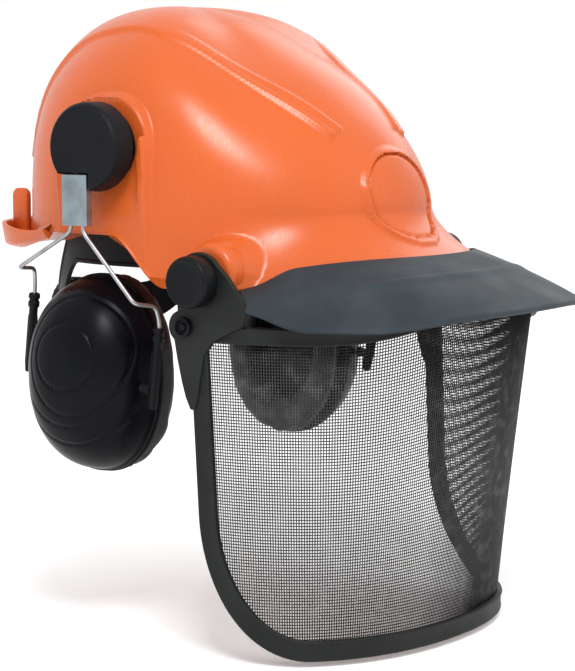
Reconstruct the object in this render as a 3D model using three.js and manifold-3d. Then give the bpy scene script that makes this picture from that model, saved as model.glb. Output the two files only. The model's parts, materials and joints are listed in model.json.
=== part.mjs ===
// Forestry helmet set: hard shell, harness, two ear muffs on spring arms and a flip-up mesh visor.
// Millimetres. +Z up, the wearer faces -Y, the wearer's right hand is at -X.
// The origin is the middle of the headband, where the head is.
import * as THREE from "three";
import { ParametricGeometry } from "three/addons/geometries/ParametricGeometry.js";
import { mergeVertices } from "three/addons/utils/BufferGeometryUtils.js";
import Module from "manifold-3d";

const wasm = await Module();
wasm.setup();
const { PI, sin, cos, abs, sign, min, max, hypot } = Math;
const V = (x, y, z) => new THREE.Vector3(x, y, z);
const GAP = 0.3; // between pieces that touch

// ---------- driving dimensions ----------
const shell = {
  halfWidth: 106,
  rear: 107, // belt line behind the shell's centre
  front: 119.5, // belt line in front of it
  centreY: 5,
  apexShift: 30, // how far the top of the dome lies behind the centre
  beltZ: 40,
  topZ: 151,
  fullness: { side: 2.9, front: 1.66, rear: 2.46 }, // of the dome, 2 being a round one
  wall: 3,
  brimHalfWidth: 107,
  brimFront: 158,
  brimZ: 9, // lower edge of the brim, in front
  templeZ: 1, // and where the brim starts at the temples
  sideZ: 28, // lower edge over the ears
  rearZ: 20,
};
// The flat seat of the ear muff arm
const seat = { x: 109, y: 6, z: 70, frontWidth: 28, rearWidth: 35, top: 102 };
const brow = { halfWidth: 31, z: 48, halfHeight: 25, proud: 3 }; // blank panel on the forehead
const arm = { y: 6, z: 75, radius: 23.5, face: 127, inner: 112.5 }; // round cap over the swivel
const springPlate = { x: 123, y: 12.5, z: 47, depth: 5, width: 17, height: 27 };
const plug = { width: 20, height: 26, depth: 14 }; // tongue of the swivel, in its slot in the seat
const wireRadius = 1.1;
const sleeve = { bore: 1.6, radius: 2.4, length: 45, collar: 3.1, collarLength: 8 };
sleeve.start = 3; // below the top of the wire's leg
sleeve.pegAt = 38;
sleeve.pegRadius = 2.8;
const cup = { y: 23.5, z: -49, halfWidth: 39.5, halfHeight: 53, rimX: 90, depth: 38, wall: 3 };
const cushion = { x: 78.5, halfThickness: 7.8, size: 0.81, roll: 0.2 }; // the last two in cup sizes
const knob = { y: -63, z: 7, radius: 13.5, bossX: 109, bossRadius: 17, inner: 117, outer: 128, bore: 4.4 };
const visor = {
  x: 114,
  topZ: -20, // at the posts
  topRise: 16, // of the top rail, in the middle
  bottomZ: -184,
  topY: -57,
  bottomY: -66,
  topDepth: 119,
  bottomDepth: 84,
};
const frame = { width: 11, topWidth: 7, thickness: 3 };
const chin = { radiusU: 0.17, radiusH: 0.42 }; // lower corners, as parts of the visor's girth and height
const wing = { face: visor.x + 2.4, thickness: 3.2 }; // side plates that carry the frame on the knobs
const ringPin = { y: -54, z: -17, headRadius: 5.2, stemRadius: 2.2 };
const peak = {
  halfWidth: 117,
  front: 146,
  centreY: -57,
  innerTurn: 0.88, // radians to each end of the inner edge
  outerTurn: 1.28, // and of the outer edge
  thickness: 2.2,
  seam: 0.35, // where the lip meets the stiff part, from the inner edge to the outer one
  arch: 2,
};
const band = { halfWidth: 79, halfLength: 97, y: 2, height: 34, thickness: 1.8 };
const sweat = { reach: 1.15, thickness: 4 };
const nape = { start: 1.42, height: 24, sideZ: 21, backZ: -24, longer: 7, dialRadius: 17 };
const clipAngles = { front: 0.62, side: 1.5, rear: 2.5 }; // where the crown straps hang, on each side
const crown = { width: 19, thickness: 1.2, foot: 20, lowest: 119.5, step: 3.8 };

// ---------- materials ----------
const plastic = (color, roughness) => new THREE.MeshStandardMaterial({ color, roughness, metalness: 0 });
const orange = plastic("#e8713f", 0.3);
const black = plastic("#1d1e21", 0.55);
const charcoal = plastic("#23242b", 0.45);
const grey = plastic("#3b424b", 0.6);
const foam = plastic("#2c2c2e", 0.95);
const webbing = plastic("#5a5d61", 0.9);
const leather = plastic("#1b1b1d", 0.7);
const steel = new THREE.MeshStandardMaterial({ color: "#a4a6a8", roughness: 0.3, metalness: 1 });

// ---------- shape helpers ----------
function weld(geometry) {
  const bare = geometry.clone();
  bare.deleteAttribute("normal");
  bare.deleteAttribute("uv");
  return mergeVertices(bare, 1e-3);
}

// A closed mesh as a solid, with its faces turned outwards.
function toSolid(geometry) {
  const welded = weld(geometry);
  const vertProperties = Float32Array.from(welded.attributes.position.array);
  const build = (triangles) => {
    const triVerts = Uint32Array.from(triangles.flat());
    return new wasm.Manifold(new wasm.Mesh({ numProp: 3, vertProperties, triVerts }));
  };
  const index = Array.from(welded.index.array);
  const triangles = [];
  for (let i = 0; i < index.length; i += 3) {
    const [a, b, c] = index.slice(i, i + 3);
    if (a !== b && b !== c && a !== c) triangles.push([a, b, c]);
  }
  const made = build(triangles);
  return made.volume() > 0 ? made : build(triangles.map(([a, b, c]) => [b, a, c]));
}

function toGeometry(body) {
  const mesh = body.getMesh();
  const geometry = new THREE.BufferGeometry();
  const places = new Float32Array(mesh.numVert * 3);
  for (let i = 0; i < mesh.numVert; i++) {
    for (let k = 0; k < 3; k++) places[3 * i + k] = mesh.vertProperties[mesh.numProp * i + k];
  }
  geometry.setAttribute("position", new THREE.BufferAttribute(places, 3));
  geometry.setIndex(new THREE.BufferAttribute(Uint32Array.from(mesh.triVerts), 1));
  return geometry;
}

// A skin through closed loops of points. Open ends are closed flat, a ring of loops joins up.
function loft(loops, ring = false) {
  const middle = (loop) => loop.reduce((sum, p) => sum.add(p), V(0, 0, 0)).divideScalar(loop.length);
  const collapsed = (loop) => loop.map(() => middle(loop));
  const first = loops[0];
  const last = loops[loops.length - 1];
  const rows = ring ? [...loops, first] : [collapsed(first), ...loops, collapsed(last)];
  const around = first.length;
  const place = (u, v, target) => {
    const row = rows[Math.round(u * (rows.length - 1))];
    target.copy(row[Math.round(v * around) % around]);
  };
  return new ParametricGeometry(place, rows.length - 1, around);
}

// A bar of rectangular section along a path; width runs along side(i), thickness along out(i).
function bar(points, sides, outs, width, thickness, ring = false) {
  const widthAt = typeof width === "function" ? width : () => width;
  const loops = points.map((p, i) => {
    const w = sides[i].clone().multiplyScalar(widthAt(i) / 2);
    const t = outs[i].clone().multiplyScalar(thickness / 2);
    return [
      p.clone().sub(w).sub(t),
      p.clone().add(w).sub(t),
      p.clone().add(w).add(t),
      p.clone().sub(w).add(t),
    ];
  });
  return loft(loops, ring);
}

function tube(points, radius, steps, sides = 6) {
  const section = new THREE.Shape();
  section.absarc(0, 0, radius, 0, 2 * PI);
  const path = new THREE.CatmullRomCurve3(points, false, "catmullrom", 0.2);
  return new THREE.ExtrudeGeometry(section, { steps, extrudePath: path, curveSegments: sides / 2 });
}

// A turned piece on an axis along X: the profile is [radius, x] pairs from axis to axis, or a closed ring.
function turned(profile, segments = 32) {
  const lathe = new THREE.LatheGeometry(profile.map(([r, x]) => new THREE.Vector2(r, x)), segments);
  return lathe.rotateZ(-PI / 2);
}

// An outline in the Y-Z plane, extruded along +X from x.
function plate(shape, x, thickness, curveSegments = 12) {
  const geometry = new THREE.ExtrudeGeometry(shape, { depth: thickness, bevelEnabled: false, curveSegments });
  geometry.applyMatrix4(new THREE.Matrix4().makeBasis(V(0, 1, 0), V(0, 0, 1), V(1, 0, 0)));
  return geometry.translate(x, 0, 0);
}

function roundedBox(width, height, radius) {
  const s = new THREE.Shape();
  const x = width / 2 - radius;
  const y = height / 2 - radius;
  s.absarc(x, y, radius, 0, PI / 2);
  s.absarc(-x, y, radius, PI / 2, PI);
  s.absarc(-x, -y, radius, PI, 1.5 * PI);
  s.absarc(x, -y, radius, 1.5 * PI, 2 * PI);
  return s;
}

const mix = (a, b, k) => a + (b - a) * k;
const smooth = (low, high, x) => THREE.MathUtils.smoothstep(x, low, high);

// ---------- the assembly ----------
const helmet = new THREE.Group();

function add(name, geometry, material) {
  const mesh = new THREE.Mesh(toGeometry(toSolid(geometry)), material);
  mesh.name = name;
  helmet.add(mesh);
  return mesh;
}

// Right-hand pieces are built at -X, and the left-hand ones are their mirror images.
function addPair(name, geometry, material) {
  add(`${name}_right`, geometry, material);
  add(`${name}_left`, toGeometry(toSolid(geometry).mirror([1, 0, 0])), material);
}

// ---------- shell ----------
// Angle 0 points to the front, and turns towards the wearer's left.
function planReach(angle, halfWidth, front, rear, squareness) {
  const x = abs(sin(angle)) / halfWidth;
  const y = abs(cos(angle)) / (cos(angle) > 0 ? front : rear);
  return 1 / (x ** squareness + y ** squareness) ** (1 / squareness);
}

function lowerEdgeZ(angle) {
  const forward = cos(angle);
  const side = mix(shell.sideZ, shell.rearZ, smooth(0.35, 0.75, -forward));
  const brimEdge = mix(shell.templeZ, shell.brimZ, smooth(0.55, 1, forward));
  return mix(side, brimEdge, smooth(0.02, 0.34, forward));
}

// k = 0 at the lower edge, 1 at the belt line, 2 at the top
function shellPoint(angle, k, inset) {
  const squareness = mix(2.3, 2, smooth(0, 0.35, cos(angle)));
  const belt = planReach(angle, shell.halfWidth, shell.front, shell.rear, squareness);
  const brim = planReach(angle, shell.brimHalfWidth, shell.brimFront, shell.rear + 1, 2.3);
  const edgeZ = lowerEdgeZ(angle);
  let reach;
  let z;
  let centreY = shell.centreY;
  if (k < 1) {
    z = mix(edgeZ, shell.beltZ, k);
    reach = mix(belt, brim, (1 - k) ** 1.6);
  } else {
    const { side, front, rear } = shell.fullness;
    const forward = mix(side, front, smooth(0, 0.9, cos(angle)));
    const fullness = mix(forward, rear, smooth(0, 0.9, -cos(angle)));
    const turn = ((k - 1) * PI) / 2;
    const scale = k >= 2 ? 0 : cos(turn) ** (2 / fullness);
    const rise = k >= 2 ? 1 : sin(turn) ** (2 / fullness);
    z = mix(shell.beltZ, shell.topZ - inset, rise);
    reach = belt * scale;
    centreY += shell.apexShift * (1 - scale);
  }
  reach = max(reach - inset * min(1, (reach / belt) * 1.6), 0);
  const p = V(reach * sin(angle), centreY - reach * cos(angle), z);
  return inset > 0 ? p : raiseSeat(p);
}

// The flat seats of the ear muff arms and the panel on the forehead stand out of the dome.
function raiseSeat(p) {
  const across = abs(p.y - seat.y) / (p.y < seat.y ? seat.frontWidth : seat.rearWidth);
  const above = max(0, p.z - seat.z) / (seat.top - seat.z);
  const inside = 1 - smooth(0.86, 1.04, hypot(across, above));
  const x = max(abs(p.x), mix(abs(p.x), seat.x, inside));
  const squareness = 2.6;
  const aside = abs(p.x) / brow.halfWidth;
  const away = abs(p.z - brow.z) / brow.halfHeight;
  const fromMiddle = (aside ** squareness + away ** squareness) ** (1 / squareness);
  const onBrow = p.y < 0 ? 1 - smooth(0.9, 1.05, fromMiddle) : 0;
  return V(sign(p.x) * x, p.y - brow.proud * onBrow, p.z);
}

function makeShell() {
  const around = 60;
  const outer = [0, 0.35, 0.7, 1, 1.15, 1.3, 1.45, 1.6, 1.75, 1.89];
  const inner = [0, 0.5, 1, 1.3, 1.6, 1.84];
  const ringAt = (k, inset) => {
    return Array.from({ length: around }, (_, i) => shellPoint((2 * PI * i) / around, k, inset));
  };
  const loops = [...outer.toReversed().map((k) => ringAt(k, 0)), ...inner.map((k) => ringAt(k, shell.wall))];
  return toSolid(loft(loops));
}

// The rain gutter is an upturned lip round the back of the shell.
function makeGutter() {
  const steps = 30;
  const spread = 0.36 * PI;
  const loops = [];
  for (let i = 0; i <= steps; i++) {
    const angle = PI + mix(-spread, spread, i / steps);
    const foot = shellPoint(angle, 0, 0);
    const out = V(sin(angle), -cos(angle), 0);
    const grow = smooth(0, 0.22, min(i, steps - i) / steps);
    const at = (reach, rise) => foot.clone().addScaledVector(out, reach).add(V(0, 0, rise));
    const reach = 3 + 12 * grow;
    const lip = 2 + 9 * grow;
    const underside = [at(-2, 5), at(-2, 0), at(reach * 0.4, -4), at(reach, -2), at(reach + 2, lip)];
    const trough = [at(reach - 0.6, lip), at(reach - 2.4, 1), at(reach * 0.4, -1), at(0, 5)];
    loops.push([...underside, ...trough]);
  }
  return toSolid(loft(loops));
}

// Upright hooks in the gutter hold a goggle strap or a cap lamp's band.
function makeStrapHook(side) {
  const outline = roundedBox(11.5, 30, 4.4);
  const hook = plate(outline, -2, 4);
  return toSolid(hook.translate(side * 60, 109, 34));
}

// Two low ribs run over the crown and end above the forehead panel.
function makeRib(side) {
  const steps = 9;
  const halfWidth = 3.5;
  const loops = Array.from({ length: steps + 1 }, (_, i) => {
    const x = side * mix(30, 54, smooth(0, 1.1, i / steps));
    const y = mix(-90, -25, i / steps);
    const top = domeHeight(x, y) + 1.8;
    const corner = (across, z) => V(x + across * halfWidth, y, z);
    return [corner(-1, top - 6), corner(1, top - 6), corner(0.7, top), corner(-0.7, top)];
  });
  return toSolid(loft(loops));
}

// The height of the dome over a place in plan, found by halving.
function domeHeight(x, y) {
  let low = 1;
  let high = 2;
  let height = shell.topZ;
  for (let i = 0; i < 24; i++) {
    const k = (low + high) / 2;
    const centreY = shellPoint(PI / 2, k, 0).y;
    const p = shellPoint(Math.atan2(x, centreY - y), k, 0);
    height = p.z;
    if (hypot(p.x, p.y - centreY) > hypot(x, y - centreY)) low = k;
    else high = k;
  }
  return height;
}

// A boss on each side of the brim takes the visor's pivot bolt.
function makeKnobBoss() {
  const foot = knob.bossRadius;
  const boss = turned([[0, -knob.bossX], [foot - 3, -knob.bossX], [foot, -88], [0, -88]], 24);
  return toSolid(boss.translate(0, knob.y, knob.z + 3));
}

function drill(radius, from, to, y, z) {
  return toSolid(turned([[0, from], [radius, from], [radius, to], [0, to]], 20).translate(0, y, z));
}

function makeCavity() {
  const around = 36;
  const ring = (k) => {
    return Array.from({ length: around }, (_, i) => shellPoint((2 * PI * i) / around, k, shell.wall));
  };
  const floor = ring(0).map((p) => V(p.x, p.y, p.z - 40));
  return toSolid(loft([floor, ...[0, 0.5, 1, 1.3, 1.6, 1.86].map(ring)]));
}

function makeWholeShell() {
  const cavity = makeCavity();
  const plugSlot = toSolid(
    plate(roundedBox(plug.width + 1, plug.height + 1, 2), -seat.x - 6, 30).translate(0, arm.y, arm.z),
  );
  const rightSide = makeRib(-1).add(makeKnobBoss()).subtract(cavity).add(makeStrapHook(-1));
  let body = makeShell().add(makeGutter()).add(rightSide).add(rightSide.mirror([1, 0, 0]));
  const holes = plugSlot.add(drill(knob.bore, -130, -80, knob.y, knob.z));
  body = body.subtract(holes).subtract(holes.mirror([1, 0, 0]));
  return body;
}

add("helmet_shell", toGeometry(makeWholeShell()), orange);

// ---------- harness ----------
// A point on the headband's outline, at an angle from the front towards the wearer's left.
function bandPoint(angle, outward, z, longer = 0) {
  const halfLength = band.halfLength + outward + longer;
  const reach = planReach(angle, band.halfWidth + outward, halfLength, halfLength, 2.1);
  return V(reach * sin(angle), band.y - reach * cos(angle), z);
}

const bandMiddle = (angle) => 28 - 11 * smooth(0.3, 0.9, cos(angle));

// A strip that follows the head from one angle to another, or all the way round.
function bandStrip(from, to, steps, outward, thickness, height, middle, longer = 0) {
  const whole = to - from === 2 * PI;
  const count = whole ? steps : steps + 1;
  const angles = Array.from({ length: count }, (_, i) => mix(from, to, i / steps));
  const points = angles.map((a) => bandPoint(a, outward, middle(a), longer));
  const outs = angles.map((a) => V(sin(a), -cos(a), 0));
  const ups = angles.map(() => V(0, 0, 1));
  return bar(points, ups, outs, height, thickness, whole);
}

function makeHarness() {
  add("headband", bandStrip(0, 2 * PI, 44, 0, band.thickness, band.height, bandMiddle), grey);
  const { reach, thickness } = sweat;
  add("sweatband", bandStrip(-reach, reach, 20, -3.2, thickness, band.height - 2, bandMiddle), leather);
  const napeMiddle = (a) => mix(nape.sideZ, nape.backZ, smooth(0.6, 0.95, -cos(a)));
  const { start, height, longer } = nape;
  add("nape_strap", bandStrip(start, 2 * PI - start, 30, 3, 2, height, napeMiddle, longer), black);
}

// The housing on the nape strap holds the ratchet, and the dial turns behind it.
function makeNapeDial() {
  const strapY = bandPoint(PI, 4, 0, nape.longer).y;
  const depth = 7.5;
  const housing = new THREE.ExtrudeGeometry(roundedBox(52, 26, 8), { depth, bevelEnabled: false });
  housing.rotateX(PI / 2);
  add("dial_housing", housing.translate(0, strapY + 0.5 + depth, nape.backZ), grey);
  const dial = turned([[0, 0.4], [nape.dialRadius, 0.4], [nape.dialRadius, 8], [14, 11], [0, 11]], 28);
  dial.rotateZ(PI / 2);
  add("nape_dial", dial.translate(0, strapY + 0.5 + depth, nape.backZ), black);
}

function makeClips() {
  for (const [place, angle] of Object.entries(clipAngles)) {
    const z = bandMiddle(angle) + band.height / 2 - 4;
    const block = new THREE.BoxGeometry(18, 13, 12);
    block.rotateZ(PI - angle);
    const at = bandPoint(angle, 9, z);
    addPair(`${place}_clip`, block.translate(-at.x, at.y, z), black);
  }
}

// Three webbing straps cross over the head, each passing over the one before.
function makeCrownStrap(name, fromAngle, toAngle, topZ) {
  const start = bandPoint(fromAngle, 6, bandMiddle(fromAngle) + crown.foot);
  const end = bandPoint(toAngle, 6, bandMiddle(toAngle) + crown.foot);
  const steps = 20;
  const points = [];
  for (let i = 0; i <= steps; i++) {
    const turn = (PI * i) / steps;
    const p = start.clone().lerp(end, (1 - cos(turn)) / 2);
    const rise = (topZ - (start.z + end.z) / 2) * max(sin(turn), 0) ** 1.15;
    points.push(p.setZ(mix(start.z, end.z, i / steps) + rise));
  }
  const along = end.clone().sub(start).setZ(0).normalize();
  const across = V(-along.y, along.x, 0);
  const sides = points.map(() => across);
  const outs = points.map((p, i) => {
    const t = points[min(i + 1, steps)].clone().sub(points[max(i - 1, 0)]).normalize();
    return across.clone().cross(t).normalize();
  });
  add(name, bar(points, sides, outs, crown.width, crown.thickness), webbing);
}

makeHarness();
makeNapeDial();
makeClips();
const { front, side, rear } = clipAngles;
makeCrownStrap("crown_strap_middle", side, -side, crown.lowest);
makeCrownStrap("crown_strap_a", front, 2 * PI - rear, crown.lowest + crown.step);
makeCrownStrap("crown_strap_b", -front, rear, crown.lowest + 2 * crown.step);

// ---------- ear muffs ----------
// A point on an oval in the cup's rim plane.
function ovalPoint(turn, x, scale, grow = 0) {
  const y = (cup.halfWidth * scale + grow) * sign(cos(turn)) * abs(cos(turn)) ** 0.92;
  const z = (cup.halfHeight * scale + grow) * sign(sin(turn)) * abs(sin(turn)) ** 0.92;
  return V(-x, cup.y + y, cup.z + z);
}

const oval = (x, scale, grow, around = 36) => {
  return Array.from({ length: around }, (_, i) => ovalPoint((2 * PI * i) / around, x, scale, grow));
};

function makeCupShell() {
  const levels = [0, 0.3, 0.6, 0.85, 1.1, 1.35];
  const dome = (inset) => (a) => oval(cup.rimX + (cup.depth - inset) * sin(a), cos(a) ** 0.75, -inset);
  return loft([...levels.toReversed().map(dome(0)), ...levels.map(dome(cup.wall))]);
}

// A plate with an oval hole, lying against the rim.
function makeOvalRing(fromX, toX, outer, inner) {
  return loft([oval(fromX, outer), oval(toX, outer), oval(toX, inner), oval(fromX, inner)], true);
}

function makeCushion() {
  const steps = 10;
  const loops = Array.from({ length: steps }, (_, i) => {
    const a = (2 * PI * i) / steps;
    return oval(cushion.x + cushion.halfThickness * sin(a), cushion.size + cushion.roll * cos(a));
  });
  return loft(loops, true);
}

// A pad of foam fills the cup.
function makeLiner() {
  return loft([oval(cup.rimX + 1, 0.8), oval(cup.rimX + 10, 0.72)]);
}

// The spring wire drops from the plate, spreads round the cup and ends in two parallel legs.
const legDown = V(3.6, 8, -43).normalize();
const along = (from, distance) => from.clone().addScaledVector(legDown, distance);
const rearLeg = V(-107, 57.3, -3); // the top of each leg
const frontLeg = V(-106.8, -30, -17);
const wirePath = [
  along(rearLeg, 40), along(rearLeg, 20), rearLeg, V(-108, 56.5, 6), V(-112, 56, 8), V(-122, 55, 9),
  V(-123, 52, 10.5), V(-123, 20, 28), V(-123, 17, 31), V(-123, 16.5, 36), V(-123, 16, 50), V(-123, 13, 53),
  V(-123, 9.5, 50), V(-123, 9, 36), V(-123, 8.5, 31), V(-123, 6, 27), V(-123, -24, -4), V(-122, -26.5, -6.5),
  V(-112, -28.5, -7.5), V(-108, -29.5, -10), frontLeg, along(frontLeg, 20), along(frontLeg, 40),
];

const wireSteps = 62;

// The plate that the wire's loop runs through, below the cap.
function makePlate() {
  const body = new THREE.BoxGeometry(springPlate.depth, springPlate.width, springPlate.height);
  body.translate(-springPlate.x, springPlate.y, springPlate.z);
  return toGeometry(toSolid(body).subtract(toSolid(tube(wirePath, wireRadius + GAP, wireSteps))));
}

// Room for the plate, which swings outwards in the cap's notch.
function plateRoom(x, depth) {
  const room = new THREE.BoxGeometry(depth, springPlate.width + 7, springPlate.height + 3);
  return toSolid(room.translate(x, springPlate.y + 1, springPlate.z - 0.5));
}

// The swivel's turning half.
function makeArmCap() {
  const { radius, face, inner } = arm;
  const outside = [[0, -face], [radius - 2, -face], [radius, -face + 2], [radius, -inner]];
  const inside = [[radius - 3, -inner], [radius - 3, -face + 4], [0, -face + 4]];
  const cap = turned([...outside, ...inside], 36);
  return toGeometry(toSolid(cap.translate(0, arm.y, arm.z)).subtract(plateRoom(-face, 40)));
}

// The swivel's fixed half: a round hub under the cap and a tongue plugged into the shell.
function makeArmBase() {
  const top = -arm.face + 6;
  const foot = -seat.x - GAP;
  const round = turned([[0, top], [8, top], [8, -116], [18, -116], [18, foot], [0, foot]], 28);
  const tongue = plate(roundedBox(plug.width, plug.height, 2), -seat.x - 3, plug.depth);
  const base = toSolid(round).add(toSolid(tongue)).translate([0, arm.y, arm.z]);
  return toGeometry(base.subtract(plateRoom(-springPlate.x - 1, 12)));
}

// The cup tilts about the line through the pegs of both sleeves. It points rearwards.
const tiltAxis = along(rearLeg, sleeve.pegAt).sub(along(frontLeg, sleeve.pegAt)).normalize();

// A sleeve slides on a leg of the wire. Its peg, on the cup's side of the leg, carries the cup.
function makeSleeve(leg, towardsCup, pegReach) {
  const { bore, radius, collar, collarLength, length } = sleeve;
  const outside = [[bore, 0], [collar, 0], [collar, collarLength], [radius, collarLength + 1]];
  const profile = [...outside, [radius, length], [bore, length], [bore, 0]];
  const top = along(leg, sleeve.start);
  const barrel = new THREE.LatheGeometry(profile.map(([r, y]) => new THREE.Vector2(r, y)), 12);
  barrel.applyQuaternion(new THREE.Quaternion().setFromUnitVectors(V(0, 1, 0), legDown));
  barrel.translate(top.x, top.y, top.z);

  const pegStart = bore + 0.2;
  const peg = new THREE.CylinderGeometry(sleeve.pegRadius, sleeve.pegRadius, pegReach - pegStart, 12);
  peg.translate(0, (pegReach + pegStart) / 2, 0);
  const aim = tiltAxis.clone().multiplyScalar(towardsCup);
  peg.applyQuaternion(new THREE.Quaternion().setFromUnitVectors(V(0, 1, 0), aim));
  const root = along(leg, sleeve.pegAt);
  return toGeometry(toSolid(barrel).add(toSolid(peg.translate(root.x, root.y, root.z))));
}

function makeEarMuffs() {
  addPair("arm_base", makeArmBase(), black);
  addPair("arm_cap", makeArmCap(), black);
  addPair("arm_plate", makePlate(), steel);
  addPair("arm_wire", tube(wirePath, wireRadius, wireSteps), steel);
  addPair("rear_sleeve", makeSleeve(rearLeg, -1, 2.3), black);
  addPair("front_sleeve", makeSleeve(frontLeg, 1, 8.3), black);
  addPair("cup_shell", makeCupShell(), charcoal);
  addPair("cup_back_plate", makeOvalRing(cup.rimX - 0.4, cup.rimX - 3, 1.02, 0.6), black);
  addPair("cup_liner", makeLiner(), foam);
  addPair("ear_cushion", makeCushion(), leather);
}

makeEarMuffs();

// ---------- visor ----------
// A curve round the face, from the right post to the left one. It may rise towards the middle.
function visorCurve(z, rise, postY, depth, halfWidth) {
  const squareness = 2.2;
  const steps = 48;
  const points = [];
  for (let i = 0; i <= steps; i++) {
    const a = mix(-PI / 2, PI / 2, i / steps);
    const x = halfWidth * sign(sin(a)) * abs(sin(a)) ** (2 / squareness);
    const lift = rise * (1 - smooth(15, 100, abs(x)));
    points.push(V(x, postY - depth * max(cos(a), 0) ** (2 / squareness), z + lift));
  }
  return new THREE.CatmullRomCurve3(points);
}

const topCurve = visorCurve(visor.topZ, visor.topRise, visor.topY, visor.topDepth, visor.x);
const bottomCurve = visorCurve(visor.bottomZ, 0, visor.bottomY, visor.bottomDepth, visor.x - 2);

// u runs along the curves and h from the top one down.
const visorPoint = (u, h) => topCurve.getPointAt(u).lerp(bottomCurve.getPointAt(u), h);

// Out of the face, away from the wearer
function visorNormal(u, h) {
  const step = 0.004;
  const across = visorPoint(min(u + step, 1), h).sub(visorPoint(max(u - step, 0), h));
  const down = visorPoint(u, 1).sub(visorPoint(u, 0));
  return down.cross(across).normalize();
}

// The frame's centre line: down one post, along the chin and up the other, with round corners,
// and back along the top.
function framePath() {
  const path = [];
  const corner = (u, h, from, to) => {
    for (let i = 0; i <= 8; i++) {
      const a = mix(from, to, i / 8);
      path.push([u + chin.radiusU * cos(a), h + chin.radiusH * sin(a)]);
    }
  };
  const edge = 0.012;
  path.push([edge, 0], [edge, 0.25]);
  corner(edge + chin.radiusU, 1 - chin.radiusH, PI, PI / 2);
  for (let i = 1; i < 10; i++) path.push([mix(edge + chin.radiusU, 1 - edge - chin.radiusU, i / 10), 1]);
  corner(1 - edge - chin.radiusU, 1 - chin.radiusH, PI / 2, 0);
  path.push([1 - edge, 0.25], [1 - edge, 0]);
  for (let i = 1; i < 18; i++) path.push([mix(1 - edge, edge, i / 18), 0]);
  return path;
}

function makeVisorFrame() {
  const path = framePath();
  const points = path.map(([u, h]) => visorPoint(u, h));
  const outs = path.map(([u, h]) => visorNormal(u, h));
  const sides = points.map((p, i) => {
    const next = points[(i + 1) % points.length];
    const before = points[(i + points.length - 1) % points.length];
    return next.clone().sub(before).cross(outs[i]).normalize();
  });
  const width = (i) => (path[i][1] === 0 ? frame.topWidth : frame.width);
  const ring = toSolid(bar(points, sides, outs, width, frame.thickness, true));
  const hole = drill(knob.bore + 0.4, -130, -100, knob.y, knob.z);
  const pinHole = drill(ringPin.stemRadius + 0.4, -130, -100, ringPin.y, ringPin.z);
  const rightWing = makeWing().subtract(hole).subtract(pinHole);
  return toGeometry(ring.add(rightWing).add(rightWing.mirror([1, 0, 0])));
}

// A side plate of the frame, from the knob down to the post.
function makeWing() {
  const s = new THREE.Shape();
  s.absarc(knob.y, knob.z, 15, 0.2, 0.8 * PI);
  s.lineTo(-86, 0);
  s.lineTo(-88, -14);
  s.lineTo(-76, -22);
  s.quadraticCurveTo(-66, -26, -63, -42);
  s.lineTo(-52, -42);
  s.lineTo(-50, -28);
  s.absarc(ringPin.y + 2, ringPin.z, 8.5, -0.3 * PI, 0.4 * PI);
  return toSolid(plate(s, -wing.face, wing.thickness));
}

// The mesh lies against the inside of the frame.
function makeMeshPanel() {
  const columns = 44;
  const inward = -frame.thickness / 2 - 1;
  const loops = Array.from({ length: columns + 1 }, (_, i) => {
    const u = mix(0.014, 0.986, i / columns);
    const fromEdge = min(u, 1 - u);
    const bend = max(0, 1 - fromEdge / chin.radiusU);
    const foot = 1 - chin.radiusH * (1 - (1 - min(bend, 1) ** 2) ** 0.5);
    const out = visorNormal(u, 0.5);
    const at = (h, shift) => visorPoint(u, h).addScaledVector(out, shift);
    return [at(0, inward - 1), at(foot, inward - 1), at(foot, inward + 0.3), at(0, inward + 0.3)];
  });
  return loft(loops);
}

// The peak slopes down and out from the brim: a soft lip stays on the brim, and the stiff part
// beyond it is raised with the visor. The inner edge lies on the brim, the outer one overhangs.
function peakInner(a) {
  const drop = smooth(0.66, 0.86, abs(a));
  const p = shellPoint(a, mix(mix(0.12, 0.25, smooth(0.5, 1, cos(a))), 0, drop), 0);
  return p.add(V(2.7 * sin(a), -2.7 * cos(a), 1));
}

function peakOuter(a) {
  const reach = planReach(a, peak.halfWidth, peak.front, peak.front, 2.5);
  const z = mix(-14.4, -6.6, smooth(0.72, 1, cos(a))) + 9 * smooth(1, 1.3, abs(a));
  return V(reach * sin(a), peak.centreY - reach * cos(a), z);
}

// Across the peak, t = 0 is the inner edge and 1 the outer one.
function peakPoint(k, t) {
  const p = peakInner(k * peak.innerTurn).lerp(peakOuter(k * peak.outerTurn), t);
  return p.add(V(0, 0, 4 * peak.arch * t * (1 - t)));
}

// A strip of the peak between two lines along it.
function peakStrip(from, to) {
  const columns = 36;
  const drop = V(0, 0, -peak.thickness);
  const loops = Array.from({ length: columns + 1 }, (_, i) => {
    const k = mix(-1, 1, i / columns);
    const top = [from, (from + to) / 2, to].map((t) => peakPoint(k, t));
    return [...top, ...top.toReversed().map((p) => p.clone().add(drop))];
  });
  return loft(loops);
}

function makeVisor() {
  add("visor_frame", makeVisorFrame(), black);
  add("visor_mesh", makeMeshPanel(), black);
  add("visor_peak", peakStrip(peak.seam + 0.012, 1), grey);
  add("peak_lip", peakStrip(0, peak.seam), grey);
}

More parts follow.
